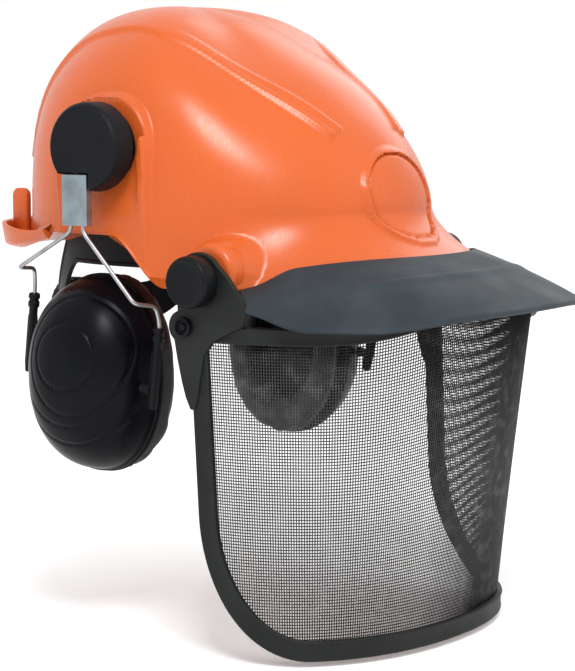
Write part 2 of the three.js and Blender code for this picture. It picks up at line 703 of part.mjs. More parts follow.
// A hand knob, its bolt through the brim's boss, and the washer that the wing turns on.
function makePivots() {
  const { inner, outer, radius, bore, bossX } = knob;
  const knobProfile = [[bore, -inner], [radius - 1, -inner], [radius, -inner - 1], [radius, -outer + 1.5],
    [radius - 1.5, -outer], [0, -outer], [0, -outer + 3], [bore, -outer + 3], [bore, -inner]];
  addPair("visor_knob", turned(knobProfile, 32).translate(0, knob.y, knob.z), black);
  const stem = bore - 0.4;
  const bolt = [[0, -outer + 3.5], [stem, -outer + 3.5], [stem, -88], [8, -88], [8, -84], [0, -84]];
  addPair("visor_bolt", turned(bolt, 20).translate(0, knob.y, knob.z), steel);
  const washerFace = wing.face - wing.thickness - GAP;
  const washer = [[bore, -bossX - GAP], [11, -bossX - GAP], [11, -washerFace], [bore, -washerFace],
    [bore, -bossX - GAP]];
  addPair("visor_washer", turned(washer, 24).translate(0, knob.y, knob.z), grey);
}

// A pin with a dished head ties the wing to the frame on each side.
function makeFramePins() {
  const { headRadius, stemRadius } = ringPin;
  const head = [[0, 1.8], [1.8, 1.8], [2.6, 0.6], [3.4, 2.6], [headRadius, 2], [headRadius, 0]];
  const pin = [...head, [stemRadius, 0], [stemRadius, -4], [0, -4]];
  const seated = pin.map(([r, proud]) => [r, -wing.face - GAP - proud]);
  addPair("frame_pin", turned(seated, 20).translate(0, ringPin.y, ringPin.z), black);
}

makeVisor();
makePivots();
makeFramePins();

export default helmet;
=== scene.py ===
"""Forestry helmet: the looks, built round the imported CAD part.

Shapes are worked out in millimetres, with +Z up and the wearer facing -Y, and are turned into
metres when a piece is made. The wearer's right hand is at -X.
"""

import json
from math import copysign, cos, exp, hypot, pi, radians, sin, sqrt
from types import SimpleNamespace as Sizes

import bpy
import bmesh
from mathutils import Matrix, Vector, noise


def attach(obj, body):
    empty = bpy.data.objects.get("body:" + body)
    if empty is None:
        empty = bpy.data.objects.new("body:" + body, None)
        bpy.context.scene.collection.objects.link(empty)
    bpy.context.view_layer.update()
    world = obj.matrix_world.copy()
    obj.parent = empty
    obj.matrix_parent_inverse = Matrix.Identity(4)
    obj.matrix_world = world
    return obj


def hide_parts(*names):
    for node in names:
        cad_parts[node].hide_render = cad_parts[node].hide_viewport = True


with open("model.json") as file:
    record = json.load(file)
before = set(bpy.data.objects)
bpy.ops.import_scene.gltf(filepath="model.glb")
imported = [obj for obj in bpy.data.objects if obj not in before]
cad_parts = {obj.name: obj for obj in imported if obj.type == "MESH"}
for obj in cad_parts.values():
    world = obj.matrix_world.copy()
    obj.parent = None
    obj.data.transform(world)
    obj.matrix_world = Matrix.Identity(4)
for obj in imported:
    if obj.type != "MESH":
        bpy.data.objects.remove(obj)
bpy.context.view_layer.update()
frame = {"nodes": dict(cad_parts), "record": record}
record = frame["record"]
BODY_OF = {node: body for body, nodes in record["behaviour"]["bodies"].items() for node in nodes}
SIDES = {"right": -1, "left": 1}
MM = 0.001
TAU = 2 * pi

# ---------------------------------------------------------------- driving dimensions (mm)
SHELL = Sizes(half_width=106, rear=107, front=119.5, centre_y=5, apex_shift=30, belt_z=40, top_z=151,
              wall=3)
FULLNESS = Sizes(side=2.9, front=1.66, rear=2.46)  # of the dome, 2 being a round one
BRIM = Sizes(half_width=107, front=158, front_z=9, temple_z=1, side_z=28, rear_z=20)
SEAT = Sizes(x=109, y=6, front_width=28, rear_width=36, spring_z=68, top_z=103)
POCKET = Sizes(x=105.4, radius=28, half_width=22, step_z=80, foot_z=36)
BROW_PANEL = Sizes(half_width=31, z=48, half_height=25.5, squareness=2.1, proud=2.0, border=3.0)
RIB = Sizes(front_y=-91, rear_y=92, height=2.2, half_width=4.7, slope=1.5)
CAP = Sizes(y=6, z=75, radius=23.5, face=127, inner=112.5)
PLATE = Sizes(x=123, y=12.5, z=47, thickness=1.6, width=17, height=27)
KNOB = Sizes(y=-63, z=7, radius=13.5, boss_x=109, boss_radius=17, inner=117, outer=128)
PIN = Sizes(y=-54, z=-17, radius=5.2)
VISOR = Sizes(x=114, top_z=-20, top_rise=16, bottom_z=-184, top_y=-57, bottom_y=-66, top_depth=119,
              bottom_depth=84)
FRAME_WIDTH, FRAME_TOP_WIDTH, FRAME_THICKNESS = 11, 9, 3
CHIN_RADIUS_U, CHIN_RADIUS_H = 0.17, 0.42  # lower corners, as parts of the visor's girth and height
WING_FACE, WING_THICKNESS = 116.4, 3.2
MESH_PITCH, MESH_WIRE = 1.6, 0.3  # MESH_WIRE is half a wire's thickness
PEAK = Sizes(half_width=117, front=146, centre_y=-57, inner_turn=0.88, outer_turn=1.28, thickness=2.2,
             seam=0.35)
CUP = Sizes(y=23.5, z=-49, half_width=39.5, half_height=53, rim_x=90, depth=38, wall=3)
CUSHION = Sizes(x=78.5, half_thickness=7.8, size=0.81, roll=0.195)  # size and roll are parts of the cup's
LINER = Sizes(back_x=99, face_x=91, size=0.76, hollow=1.6)
BAND = Sizes(half_width=79, half_length=97, y=2, height=34, thickness=1.8)
NAPE = Sizes(start=1.42, height=24, side_z=21, back_z=-24, longer=7)
CLIP_TURN = dict(front=0.62, side=1.5, rear=2.5)  # where the clips sit, in radians from the front
STRAP_FOOT = 20  # of the crown straps, above the middle of the headband
STRAP = Sizes(width=19, thickness=1.2, curl=0.5, lowest_z=119.5, step=3.8)
SWEATBAND = Sizes(end_turn=1.15, half_height=15.5, half_thickness=2.0, inside=3.2)
DIAL_TEETH = 24
HOOK = Sizes(x=60, y=109, z=34, width=11.5, height=30)
WIRE_RADIUS = 1.1
LEG_DOWN = Vector((3.6, 8, -43)).normalized()
REAR_LEG = Vector((-107, 57.3, -3))
FRONT_LEG = Vector((-106.8, -30, -17))
LEG_LENGTH = 40
FLOOR_Z = -192.5
CAMERA = Sizes(azimuth=-54.43, elevation=6.21, distance=1283.06, lens=119.97, aim_right=29.59, aim_z=-35.18)


# ---------------------------------------------------------------- small maths
def mix(a, b, k):
    return a + (b - a) * k


def smooth(low, high, x):
    t = min(max((x - low) / (high - low), 0.0), 1.0)
    return t * t * (3 - 2 * t)


def power(value, exponent):
    """A power that keeps the sign."""
    return copysign(abs(value) ** exponent, value)


def spread(count, low=0.0, high=1.0):
    """Evenly spaced values, both ends included."""
    return [mix(low, high, i / (count - 1)) for i in range(count)]


def full_turn(count):
    """Evenly spaced angles of one turn."""
    return [TAU * i / count for i in range(count)]


def outward(angle):
    """The level direction away from the middle; angle 0 is the front, and it turns to the left."""
    return Vector((sin(angle), -cos(angle), 0))


def rounded_size(a, b, squareness):
    """1 on a rounded outline whose half sizes are a = 1 and b = 1; squareness 2 is an ellipse."""
    return (a**squareness + b**squareness) ** (1 / squareness)


# ---------------------------------------------------------------- making pieces
def add_object(name, data):
    """An object in the scene, for a mesh, a light or a camera."""
    thing = bpy.data.objects.new(name, data)
    bpy.context.scene.collection.objects.link(thing)
    return thing


def make_mesh_data(name, points, faces):
    """A mesh from points in millimetres, with its faces turned outwards."""
    mesh = bpy.data.meshes.new(name)
    mesh.from_pydata([Vector(p) * MM for p in points], [], faces)
    build = bmesh.new()
    build.from_mesh(mesh)
    bmesh.ops.remove_doubles(build, verts=build.verts, dist=1e-6)
    bmesh.ops.recalc_face_normals(build, faces=build.faces)
    build.to_mesh(mesh)
    build.free()
    return mesh


def make_piece(name, points, faces, material, node, sharp=40, bevel=0.0):
    """A visible piece. It moves with the CAD node it stands for and hides it."""
    mesh = make_mesh_data(name, points, faces)
    mesh.shade_smooth()
    mesh.set_sharp_from_angle(angle=radians(sharp))
    piece = add_object(name, mesh)
    piece.data.materials.append(material)
    if bevel:
        add_bevel(piece, bevel)
    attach(piece, BODY_OF[node])
    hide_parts(node)
    return piece


def make_pair(name, part, material, node, **edges):
    """The same piece on both sides. It is drawn on the wearer's right, at -X, and mirrored."""
    pair = []
    for side, sign in SIDES.items():
        side_node = node if node in BODY_OF else f"{node}_{side}"
        pair.append(make_piece(f"{name}_{side}", *on_side(part, sign), material, side_node, **edges))
    return pair


def add_bevel(piece, width):
    """Rounds the hard edges, by a width in millimetres."""
    rounding = piece.modifiers.new("rounded_edges", "BEVEL")
    rounding.width = width * MM
    rounding.segments = 3
    rounding.limit_method = "ANGLE"
    rounding.angle_limit = radians(35)


def skin(rows, close_rows=False, caps=True):
    """Points and faces of a skin through rows of points, each row being a closed ring."""
    across = len(rows[0])
    points = [p for row in rows for p in row]
    faces = []
    for i in range(len(rows) if close_rows else len(rows) - 1):
        for j in range(across):
            here, there = i * across, ((i + 1) % len(rows)) * across
            k = (j + 1) % across
            faces.append((here + j, here + k, there + k, there + j))
    if caps and not close_rows:
        faces.append(tuple(range(across - 1, -1, -1)))
        faces.append(tuple(range((len(rows) - 1) * across, len(rows) * across)))
    return points, faces


def with_last_cap(rows):
    """A skin that is open at its first row and closed at its last."""
    points, faces = skin(rows, caps=False)
    faces.append(tuple(range(len(points) - len(rows[0]), len(points))))
    return points, faces


def round_corners(path, radius, steps=6):
    """The path with its corners turned into arcs."""
    path = [Vector(p) for p in path]
    out = [path[0]]
    for before, corner, after in zip(path, path[1:], path[2:]):
        reach = min(radius, (corner - before).length / 2, (after - corner).length / 2)
        start = corner + (before - corner).normalized() * reach
        end = corner + (after - corner).normalized() * reach
        for t in spread(steps):
            out.append(start.lerp(corner, t).lerp(corner.lerp(end, t), t))
    out.append(path[-1])
    return out


def frames_along(path):
    """Two directions across the path at each point, carried along without twisting."""
    tangents = []
    for i in range(len(path)):
        tangents.append((path[min(i + 1, len(path) - 1)] - path[max(i - 1, 0)]).normalized())
    side = tangents[0].orthogonal().normalized()
    frames = []
    for tangent in tangents:
        side = (side - tangent * side.dot(tangent)).normalized()
        frames.append((side, tangent.cross(side)))
    return frames


def tube(path, radius, sides=20):
    """A round bar along a path."""
    return bar_of_rings(path, frames_along(path), [radius] * len(path), sides)


def stepped_bar(path, radii, axis):
    """A turned bar whose rings all stand square to one axis, so that it can have steps."""
    side = axis.orthogonal().normalized()
    return bar_of_rings(path, [(side, axis.cross(side))] * len(path), radii, 28)


def bar_of_rings(path, frames, radii, sides):
    """Rings round the points of a path; a frame is two directions across it."""
    rows = []
    for point, (side, up), radius in zip(path, frames, radii):
        rows.append([point + (side * cos(a) + up * sin(a)) * radius for a in full_turn(sides)])
    return skin(rows)


def turned(profile, y, z, segments=96, round_by=0.0):
    """A turned piece on an axis along X. The profile is (radius, distance out from the middle)."""
    if round_by:
        flat = round_corners([Vector((r, x, 0)) for r, x in profile], round_by, 5)
        profile = [(p.x, p.y) for p in flat]
    rows = []
    for r, x in profile:
        rows.append([Vector((-x, y + r * cos(a), z + r * sin(a))) for a in full_turn(segments)])
    return skin(rows, caps=False)


def slab(outline, inner_x, outer_x):
    """A flat plate: an outline of (y, z) points between two distances from the middle."""
    rows = [[Vector((-x, y, z)) for y, z in outline] for x in (inner_x, outer_x)]
    return skin(rows)


def arc(centre_y, centre_z, radius, start, end):
    """Points of an arc in the Y-Z plane, with angles in parts of a half turn."""
    angles = spread(24, start * pi, end * pi)
    return [(centre_y + radius * cos(a), centre_z + radius * sin(a)) for a in angles]


def joined(*parts):
    """Several skins as one."""
    points, faces = [], []
    for more_points, more_faces in parts:
        base = len(points)
        points += more_points
        faces += [tuple(base + i for i in face) for face in more_faces]
    return points, faces


def on_side(part, sign):
    """The part itself for the wearer's right, at -X, and its mirror image for the left."""
    points, faces = part
    return [Vector((-sign * p.x, p.y, p.z)) for p in points], faces


# ---------------------------------------------------------------- materials
def linear(red, green, blue):
    """A colour given as 0-255 sRGB values."""
    def channel(value):
        value /= 255
        return value / 12.92 if value <= 0.04045 else ((value + 0.055) / 1.055) ** 2.4
    return (channel(red), channel(green), channel(blue), 1)


class Nodes:
    """A short way to write a material's node tree."""

    def __init__(self, name):
        self.material = bpy.data.materials.new(name)
        self.material.use_nodes = True
        self.tree = self.material.node_tree
        self.shader = self.tree.nodes["Principled BSDF"]
        self.place = self.add("ShaderNodeTexCoord").outputs["Object"]

    def add(self, kind, **settings):
        node = self.tree.nodes.new(kind)
        for key, value in settings.items():
            setattr(node, key, value)
        return node

    def link(self, source, target):
        self.tree.links.new(source, target)

    def put(self, name, value):
        """Gives one of the shader's own sockets a plain value."""
        self.shader.inputs[name].default_value = value

    def drive(self, name, source):
        """Joins a node's output to one of the shader's sockets."""
        self.link(source, self.shader.inputs[name])

    def noise(self, scale, detail=3, roughness=0.5, stretch=(1, 1, 1)):
        """Cloudy noise in the piece's own coordinates, which may be stretched."""
        mapping = self.add("ShaderNodeMapping")
        mapping.inputs["Scale"].default_value = stretch
        self.link(self.place, mapping.inputs["Vector"])
        node = self.add("ShaderNodeTexNoise")
        for name, number in (("Scale", scale), ("Detail", detail), ("Roughness", roughness)):
            node.inputs[name].default_value = number
        self.link(mapping.outputs["Vector"], node.inputs["Vector"])
        return node.outputs["Fac"]

    def cells(self, scale, feature="F1"):
        """Distance to the nearest cell, or to its edge."""
        node = self.add("ShaderNodeTexVoronoi", feature=feature)
        node.inputs["Scale"].default_value = scale
        self.link(self.place, node.inputs["Vector"])
        return node.outputs["Distance"]

    def ranged(self, value, low, high, new_low, new_high):
        """A value's range turned into another range."""
        node = self.add("ShaderNodeMapRange")
        names = ("From Min", "From Max", "To Min", "To Max")
        for name, number in zip(names, (low, high, new_low, new_high)):
            node.inputs[name].default_value = number
        self.link(value, node.inputs["Value"])
        return node.outputs["Result"]

    def blended(self, factor, first, second):
        """A colour between two, by a factor from 0 to 1."""
        node = self.add("ShaderNodeMix", data_type="RGBA")
        self.link(factor, node.inputs["Factor"])
        node.inputs["A"].default_value = first
        node.inputs["B"].default_value = second
        return node.outputs["Result"]

    def multiplied(self, first, second):
        node = self.add("ShaderNodeMath", operation="MULTIPLY")
        self.link(first, node.inputs[0])
        self.link(second, node.inputs[1])
        return node.outputs[0]

    def bumps(self, *layers):
        """Layers of (height, depth in millimetres, strength), one over the other."""
        normal = None
        for height, depth, strength in layers:
            node = self.add("ShaderNodeBump")
            node.inputs["Strength"].default_value = strength
            node.inputs["Distance"].default_value = depth * MM
            self.link(height, node.inputs["Height"])
            if normal:
                self.link(normal, node.inputs["Normal"])
            normal = node.outputs["Normal"]
        self.drive("Normal", normal)


def shade(color, factor):
    """The colour made darker or lighter."""
    return (color[0] * factor, color[1] * factor, color[2] * factor, 1)


def shell_plastic():
    """Glossy moulded shell: a faint flow pattern, dust specks and fine scuffs in the gloss."""
    m = Nodes("shell_orange")
    color = linear(197, 89, 35)
    flow = m.noise(9, 2, 0.5)
    m.drive("Base Color", m.blended(m.ranged(flow, 0.3, 0.7, 0, 1), color, shade(color, 0.9)))
    scuffs = m.noise(700, 4, 0.7, (1, 1, 0.12))
    m.drive("Roughness", m.ranged(scuffs, 0.35, 0.75, 0.25, 0.34))
    m.put("Specular IOR Level", 0.34)
    m.put("Subsurface Weight", 0.08)
    m.put("Subsurface Radius", (0.004, 0.0015, 0.0006))
    m.bumps((m.noise(60, 3), 0.12, 0.25), (m.noise(1500, 2), 0.015, 0.25))
    return m.material


def grained_plastic(name, color, roughness, gloss=0.2, grain=2200, depth=0.05, strength=0.6):
    """Moulded plastic with a fine spark-eroded grain, and dull patches where hands rub it."""
    m = Nodes(name)
    patches = m.noise(40, 3)
    m.drive("Base Color", m.blended(m.ranged(patches, 0.35, 0.7, 0, 1), color, shade(color, 1.5)))
    m.drive("Roughness", m.ranged(m.noise(25, 4), 0.3, 0.7, roughness - 0.08, roughness + 0.1))
    m.put("Specular IOR Level", gloss)
    m.bumps((m.cells(grain), depth, strength), (m.noise(500, 3), 0.03, 0.3))
    return m.material


def brushed_metal(name, color, roughness):
    """Steel with drawing marks along it and a few dull stains."""
    m = Nodes(name)
    m.put("Metallic", 1)
    marks = m.noise(2600, 2, 0.5, (1, 1, 0.04))
    stains = m.noise(90, 3)
    m.drive("Base Color", m.blended(m.ranged(stains, 0.45, 0.75, 0, 1), color, shade(color, 0.62)))
    m.drive("Roughness", m.ranged(marks, 0.3, 0.7, roughness - 0.07, roughness + 0.12))
    m.bumps((marks, 0.02, 0.4))
    return m.material


def enamelled_wire():
    """Black enamel on thin wire, worn to a dull shine in places."""
    m = Nodes("wire_mesh")
    worn = m.ranged(m.noise(120, 4), 0.5, 0.75, 0, 1)
    m.drive("Base Color", m.blended(worn, linear(38, 40, 41), linear(78, 80, 80)))
    m.drive("Roughness", m.ranged(worn, 0, 1, 0.45, 0.3))
    m.bumps((m.noise(900, 3), 0.03, 0.5))
    return m.material


def soft_skin():
    """Imitation leather: pebble grain with fine creases."""
    m = Nodes("cushion_skin")
    pebbles = m.cells(900)
    creases = m.cells(160, "DISTANCE_TO_EDGE")
    tone = m.blended(m.ranged(m.noise(50), 0.3, 0.7, 0, 1), linear(30, 30, 32), linear(46, 46, 49))
    m.drive("Base Color", tone)
    m.drive("Roughness", m.ranged(pebbles, 0, 0.6, 0.6, 0.42))
    m.bumps((m.ranged(creases, 0, 0.12, 0, 1), 0.12, 0.5), (pebbles, 0.1, 0.5))
    return m.material


def open_foam():
    """Foam with open pores."""
    m = Nodes("foam")
    pores = m.cells(1100)
    # the pores are painted darker than the foam between them: painted shade in their hollows
    m.drive("Base Color", m.blended(m.ranged(pores, 0.1, 0.6, 0, 1), linear(28, 28, 30), linear(70, 70, 73)))
    m.put("Roughness", 0.95)
    m.put("Sheen Weight", 0.2)
    m.bumps((pores, 0.6, 0.9), (m.noise(300), 0.3, 0.4))
    return m.material


def woven_webbing():
    """A close weave: two sets of ribs crossing, with stray fibres."""
    m = Nodes("webbing")
    ribs = []
    for direction in ("X", "Y"):
        wave = m.add("ShaderNodeTexWave", bands_direction=direction)
        wave.inputs["Scale"].default_value = 380
        wave.inputs["Distortion"].default_value = 0.6
        m.link(m.place, wave.inputs["Vector"])
        ribs.append(wave.outputs["Fac"])
    weave = m.multiplied(ribs[0], ribs[1])
    # the weave's low places are painted darker and its raised crossings lighter: painted shade in the
    # hollows and a painted highlight on the ribs
    m.drive("Base Color", m.blended(weave, linear(44, 45, 48), linear(96, 97, 100)))
    m.put("Roughness", 0.85)
    m.put("Sheen Weight", 0.3)
    m.bumps((weave, 0.25, 0.8), (m.noise(2500, 3), 0.06, 0.5))
    return m.material


ORANGE = shell_plastic()
BLACK = grained_plastic("black_plastic", linear(14, 15, 18), 0.45, 0.11)
FRAME_BLACK = grained_plastic("frame_plastic", linear(24, 26, 25), 0.5, 0.17, 1700, 0.06)
CUP_PLASTIC = grained_plastic("cup_plastic", linear(5, 6, 11), 0.3, 0.1, 2600, 0.025, 0.4)
PEAK_PLASTIC = grained_plastic("peak_plastic", linear(38, 45, 50), 0.55, 0.18, 1900, 0.09, 0.8)
HARNESS = grained_plastic("harness_plastic", linear(18, 18, 20), 0.5, 0.15)
MESH_WIRE_METAL = enamelled_wire()
STEEL = brushed_metal("spring_steel", linear(168, 170, 172), 0.34)
PLATE_STEEL = brushed_metal("plate_steel", linear(146, 158, 164), 0.42)
LEATHER = soft_skin()
FOAM = open_foam()
WEBBING = woven_webbing()


# ---------------------------------------------------------------- shell
def plan_reach(angle, half_width, front, rear, squareness):
    """Distance to a rounded outline; angle 0 is the front, and it turns to the wearer's left."""
    x = abs(sin(angle)) / half_width
    y = abs(cos(angle)) / (front if cos(angle) > 0 else rear)
    return 1 / rounded_size(x, y, squareness)


def lower_edge_z(angle):
    """Height of the shell's lower edge: over the ears, at the temples, on the brim and behind."""
    forward = cos(angle)
    side = mix(BRIM.side_z, BRIM.rear_z, smooth(0.35, 0.75, -forward))
    brim = mix(BRIM.temple_z, BRIM.front_z, smooth(0.55, 1, forward))
    return mix(side, brim, smooth(0.02, 0.34, forward))


def shell_point(angle, k, inset=0.0):
    """k = 0 is the lower edge, 1 the belt line and 2 the top."""
    squareness = mix(2.3, 2, smooth(0, 0.35, cos(angle)))
    belt = plan_reach(angle, SHELL.half_width, SHELL.front, SHELL.rear, squareness)
    brim = plan_reach(angle, BRIM.half_width, BRIM.front, SHELL.rear + 1, 2.3)
    centre_y = SHELL.centre_y
    if k < 1:
        z = mix(lower_edge_z(angle), SHELL.belt_z, k)
        reach = mix(belt, brim, (1 - k) ** 1.6)
    else:
        forward = cos(angle)
        fullness = mix(FULLNESS.side, FULLNESS.front, smooth(0, 0.9, forward))
        fullness = mix(fullness, FULLNESS.rear, smooth(0, 0.9, -forward))
        turn = (k - 1) * pi / 2
        scale = max(cos(turn), 0) ** (2 / fullness)
        z = mix(SHELL.belt_z, SHELL.top_z - inset, sin(turn) ** (2 / fullness))
        reach = belt * scale
        centre_y += SHELL.apex_shift * (1 - scale)
    reach = max(reach - inset * min(1, reach / belt * 1.6), 0)
    return Vector((reach * sin(angle), centre_y - reach * cos(angle), z))


def raise_seat(p):
    """The flat seat of an ear muff arm, with a sunken pocket round the swivel."""
    across = abs(p.y - SEAT.y) / (SEAT.front_width if p.y < SEAT.y else SEAT.rear_width)
    above = max(0, p.z - SEAT.spring_z) / (SEAT.top_z - SEAT.spring_z)
    inside = 1 - smooth(0.93, 1.02, rounded_size(across, above, 2.3))
    fade = smooth(30, 62, p.z + max(0, -p.y) * 0.4)
    level = mix(106.5, SEAT.x, fade)
    x = max(abs(p.x), mix(abs(p.x), level, inside))
    from_pivot = hypot(p.y - CAP.y, p.z - CAP.z)
    if p.z > POCKET.step_z:
        in_pocket = 1 - smooth(-1, 0.6, from_pivot - POCKET.radius)
    else:
        in_pocket = 1 - smooth(-1, 0.6, abs(p.y - CAP.y) - POCKET.half_width)
        in_pocket *= smooth(0, 22, p.z - POCKET.foot_z)
    if abs(p.x) > 80:
        x = mix(x, min(x, POCKET.x), in_pocket)
    return Vector((copysign(x, p.x), p.y, p.z))


def raise_brow_panel(p):
    """A panel on the forehead inside a raised border."""
    if p.y > -60:
        return p
    aside = abs(p.x) / BROW_PANEL.half_width
    away = abs(p.z - BROW_PANEL.z) / BROW_PANEL.half_height
    edge = rounded_size(aside, away, BROW_PANEL.squareness)
    panel = 1 - smooth(0.84, 0.89, edge)
    border = smooth(0.89, 0.92, edge) * (1 - smooth(0.99, 1.03, edge))
    height = BROW_PANEL.proud * panel + BROW_PANEL.border * border
    return p + Vector((0, -height * smooth(14, 30, p.z), 0))


def rib_line(y):
    """How far from the middle the near rib and the edge of the crown band run."""
    opening = min(1, max(0, (y - RIB.front_y) / 88) ** 0.8)
    return mix(29.5, 66, opening) - 5 * smooth(25, 70, y)


def crown_relief(p):
    """Height of the two ribs over the forehead, and of the broad band they join over the crown."""
    along = (p.y - RIB.front_y) / (RIB.rear_y - RIB.front_y)
    if p.z < 66 or not -0.02 < along < 1.2:
        return 0
    off = abs(p.x) - rib_line(p.y)
    outer_wall = 1 - smooth(RIB.half_width - RIB.slope, RIB.half_width + RIB.slope, off)
    inner_wall = smooth(-RIB.half_width - RIB.slope, -RIB.half_width + RIB.slope, off)
    rib = inner_wall * outer_wall
    groove = 0.5 * exp(-((off / 1.7) ** 2)) * rib * (1 - smooth(0.2, 0.34, along))
    band = outer_wall * smooth(0.28, 0.5, along)
    ends = smooth(0, 0.006, along) * (1 - smooth(0.98, 1.12, along))
    return RIB.height * max(rib - groove, band) * ends


def raise_boss(p):
    """The shell swells round the visor's pivot."""
    if abs(p.x) < 70 or p.y > -30:
        return p
    from_pivot = hypot(p.y - KNOB.y, p.z - KNOB.z - 3)
    inside = 1 - smooth(-2.5, 2.5, from_pivot - KNOB.boss_radius)
    x = max(abs(p.x), mix(abs(p.x), KNOB.boss_x - 0.6, inside))
    return Vector((copysign(x, p.x), p.y, p.z))


def outer_point(angle, k):
    """A point of the outside. The crown sinks a little, so that its band stays in the CAD's box."""
    p = raise_boss(raise_brow_panel(raise_seat(shell_point(angle, k))))
    away = (p - Vector((0, 20, 20))).normalized()
    relief = crown_relief(p) - smooth(100, 130, p.z)
    rim = 0.9 * (1 - smooth(0.0, 0.11, k))
    return p + away * relief + outward(angle) * rim


def outer_levels():
    """Close together just above the belt line, where the dome turns fastest."""
    below = [0, 0.02, 0.04, 0.06, 0.09, 0.12] + spread(20, 0.16, 0.97)
    above = [1 + t**1.45 * 0.998 for t in spread(134)]
    return below + above


def outer_turns():
    """Closer together at the seats of the ear muff arms and across the forehead."""
    def weight(turn):
        side = abs(sin(turn))
        return 1 + 1.4 * smooth(0.75, 0.9, side) + 0.8 * smooth(0.88, 0.97, cos(turn))

    fine = full_turn(7200)
    total = sum(weight(a) for a in fine)
    turns, passed, count = [], 0, 540
    for a in fine:
        if passed >= len(turns) * total / count and len(turns) < count:
            turns.append(a)
        passed += weight(a)
    return turns


def make_shell():
    """The outside, and the inside a wall's thickness within it."""
    turns = outer_turns()
    rows = [[outer_point(a, k) for a in turns] for k in outer_levels()]
    make_piece("shell_outside", *skin(rows), ORANGE, "helmet_shell", sharp=60)

    turns = full_turn(140)
    levels = [0, 0.25, 0.5, 0.75, 1] + [1 + t**1.4 * 0.99 for t in spread(28, 0.04)]
    rows = [[outer_point(a, 0) for a in turns]]
    rows += [[shell_point(a, k, SHELL.wall) for a in turns] for k in levels]
    make_piece("shell_inside", *with_last_cap(rows), ORANGE, "helmet_shell", sharp=60)


def make_gutter():
    """The rain gutter: an upturned lip round the back, with rounded edges."""
    rows = []
    half_spread = 0.36 * pi
    for t in spread(120):
        angle = pi + mix(-half_spread, half_spread, t)
        foot = shell_point(angle, 0)
        grow = smooth(0, 0.22, min(t, 1 - t))
        reach, lip = 3 + 12 * grow, 2 + 9 * grow
        section = [(-2, 5), (-2, 0), (reach * 0.4, -4), (reach, -2), (reach + 2, lip), (reach - 0.6, lip),
                   (reach - 2.4, 1), (reach * 0.4, -1), (0, 5)]
        closed = section + section[:2]
        soft = round_corners([Vector((a, b, 0)) for a, b in closed], 1.1 + grow, 4)[1:-1]
        rows.append([foot + outward(angle) * p.x + Vector((0, 0, p.y)) for p in soft])
    make_piece("shell_gutter", *skin(rows), ORANGE, "helmet_shell")


def rounded_rectangle(width, height, radius):
    """Points of a rectangle with round corners, about the origin."""
    out = []
    for index, (sx, sy) in enumerate(((1, 1), (-1, 1), (-1, -1), (1, -1))):
        for a in spread(8, index * pi / 2, (index + 1) * pi / 2):
            out.append((sx * (width / 2 - radius) + radius * cos(a),
                        sy * (height / 2 - radius) + radius * sin(a)))
    return out


def make_hooks():
    """An upright tab on each side of the gutter holds the strap of a pair of goggles."""
    outline = rounded_rectangle(HOOK.width, HOOK.height, 4.4)
    rows = []
    for depth, shrink in ((-2, 0.86), (-1.5, 0.97), (1.5, 0.97), (2, 0.86)):
        x, taller = -(HOOK.x + depth), mix(1, shrink, 0.3)
        rows.append([Vector((x, HOOK.y + a * shrink, HOOK.z + b * taller)) for a, b in outline])
    make_pair("strap_hook", skin(rows), ORANGE, "helmet_shell", sharp=70)


def make_bosses():
    """A round boss on each side carries the visor's pivot."""
    face, radius = KNOB.boss_x, KNOB.boss_radius
    profile = [(0, face), (radius - 3, face), (radius - 0.6, face - 2.2), (radius, face - 8), (radius, 88)]
    boss = turned(profile, KNOB.y, KNOB.z + 3, round_by=1.6)
    make_pair("pivot_boss", boss, ORANGE, "helmet_shell", sharp=60)


# ---------------------------------------------------------------- ear muffs
def make_arm_swivels():
    """A round cap over the swivel, with a dished face and a notch for the spring plate."""
    radius, face, inner = CAP.radius, CAP.face, CAP.inner
    profile = [(0, face - 0.5), (radius - 3.2, face - 0.2), (radius - 2.2, face), (radius - 0.4, face - 1.8),
               (radius, face - 4), (radius + 0.3, inner), (radius - 2.5, inner), (radius - 3, face - 4),
               (0, face - 4)]
    base = [(0, 121), (8, 121), (8, 117), (19, 117), (20, 116), (20, 106), (0, 106)]
    caps = make_pair("swivel_cap", turned(profile, CAP.y, CAP.z, round_by=0.9), BLACK, "arm_cap")
    for cap, sign in zip(caps, SIDES.values()):
        cut_notch(cap, sign)
    make_pair("swivel_base", turned(base, CAP.y, CAP.z, round_by=0.8), BLACK, "arm_base")


def cut_notch(cap, sign):
    """Takes the room for the spring plate out of the cap's lower edge."""
    outline = [(1.5, 40), (24.5, 40), (24.5, 61.5), (1.5, 61.5)]
    room = on_side(slab(outline, CAP.face - 13, CAP.face + 5), sign)
    tool = add_object("notch", make_mesh_data("notch", *room))
    cutting = cap.modifiers.new("notch", "BOOLEAN")
    cutting.object = tool
    cutting.operation = "DIFFERENCE"
    cutting.solver = "EXACT"
    apply_modifiers(cap)
    bpy.data.objects.remove(tool)
    cap.data.set_sharp_from_angle(angle=radians(35))


def apply_modifiers(piece):
    """Makes what the modifiers show the piece's own mesh."""
    bpy.context.view_layer.update()
    evaluated = piece.evaluated_get(bpy.context.evaluated_depsgraph_get())
    mesh = bpy.data.meshes.new_from_object(evaluated)
    piece.modifiers.clear()
    piece.data = mesh


def wire_path():
    """The spring wire: a loop through the plate, two arms spread round the cup and two legs."""
    rear_foot = REAR_LEG + LEG_DOWN * LEG_LENGTH
    front_foot = FRONT_LEG + LEG_DOWN * LEG_LENGTH
    path = [rear_foot, REAR_LEG, (-108, 56.5, 8), (-122.5, 55, 9.2), (-123, 17, 30), (-123, 16.2, 53),
            (-123, 8.8, 53), (-123, 8.5, 30), (-123, -26, -6.2), (-109, -29, -8.5), FRONT_LEG, front_foot]
    return round_corners(path, 3.4, 8)


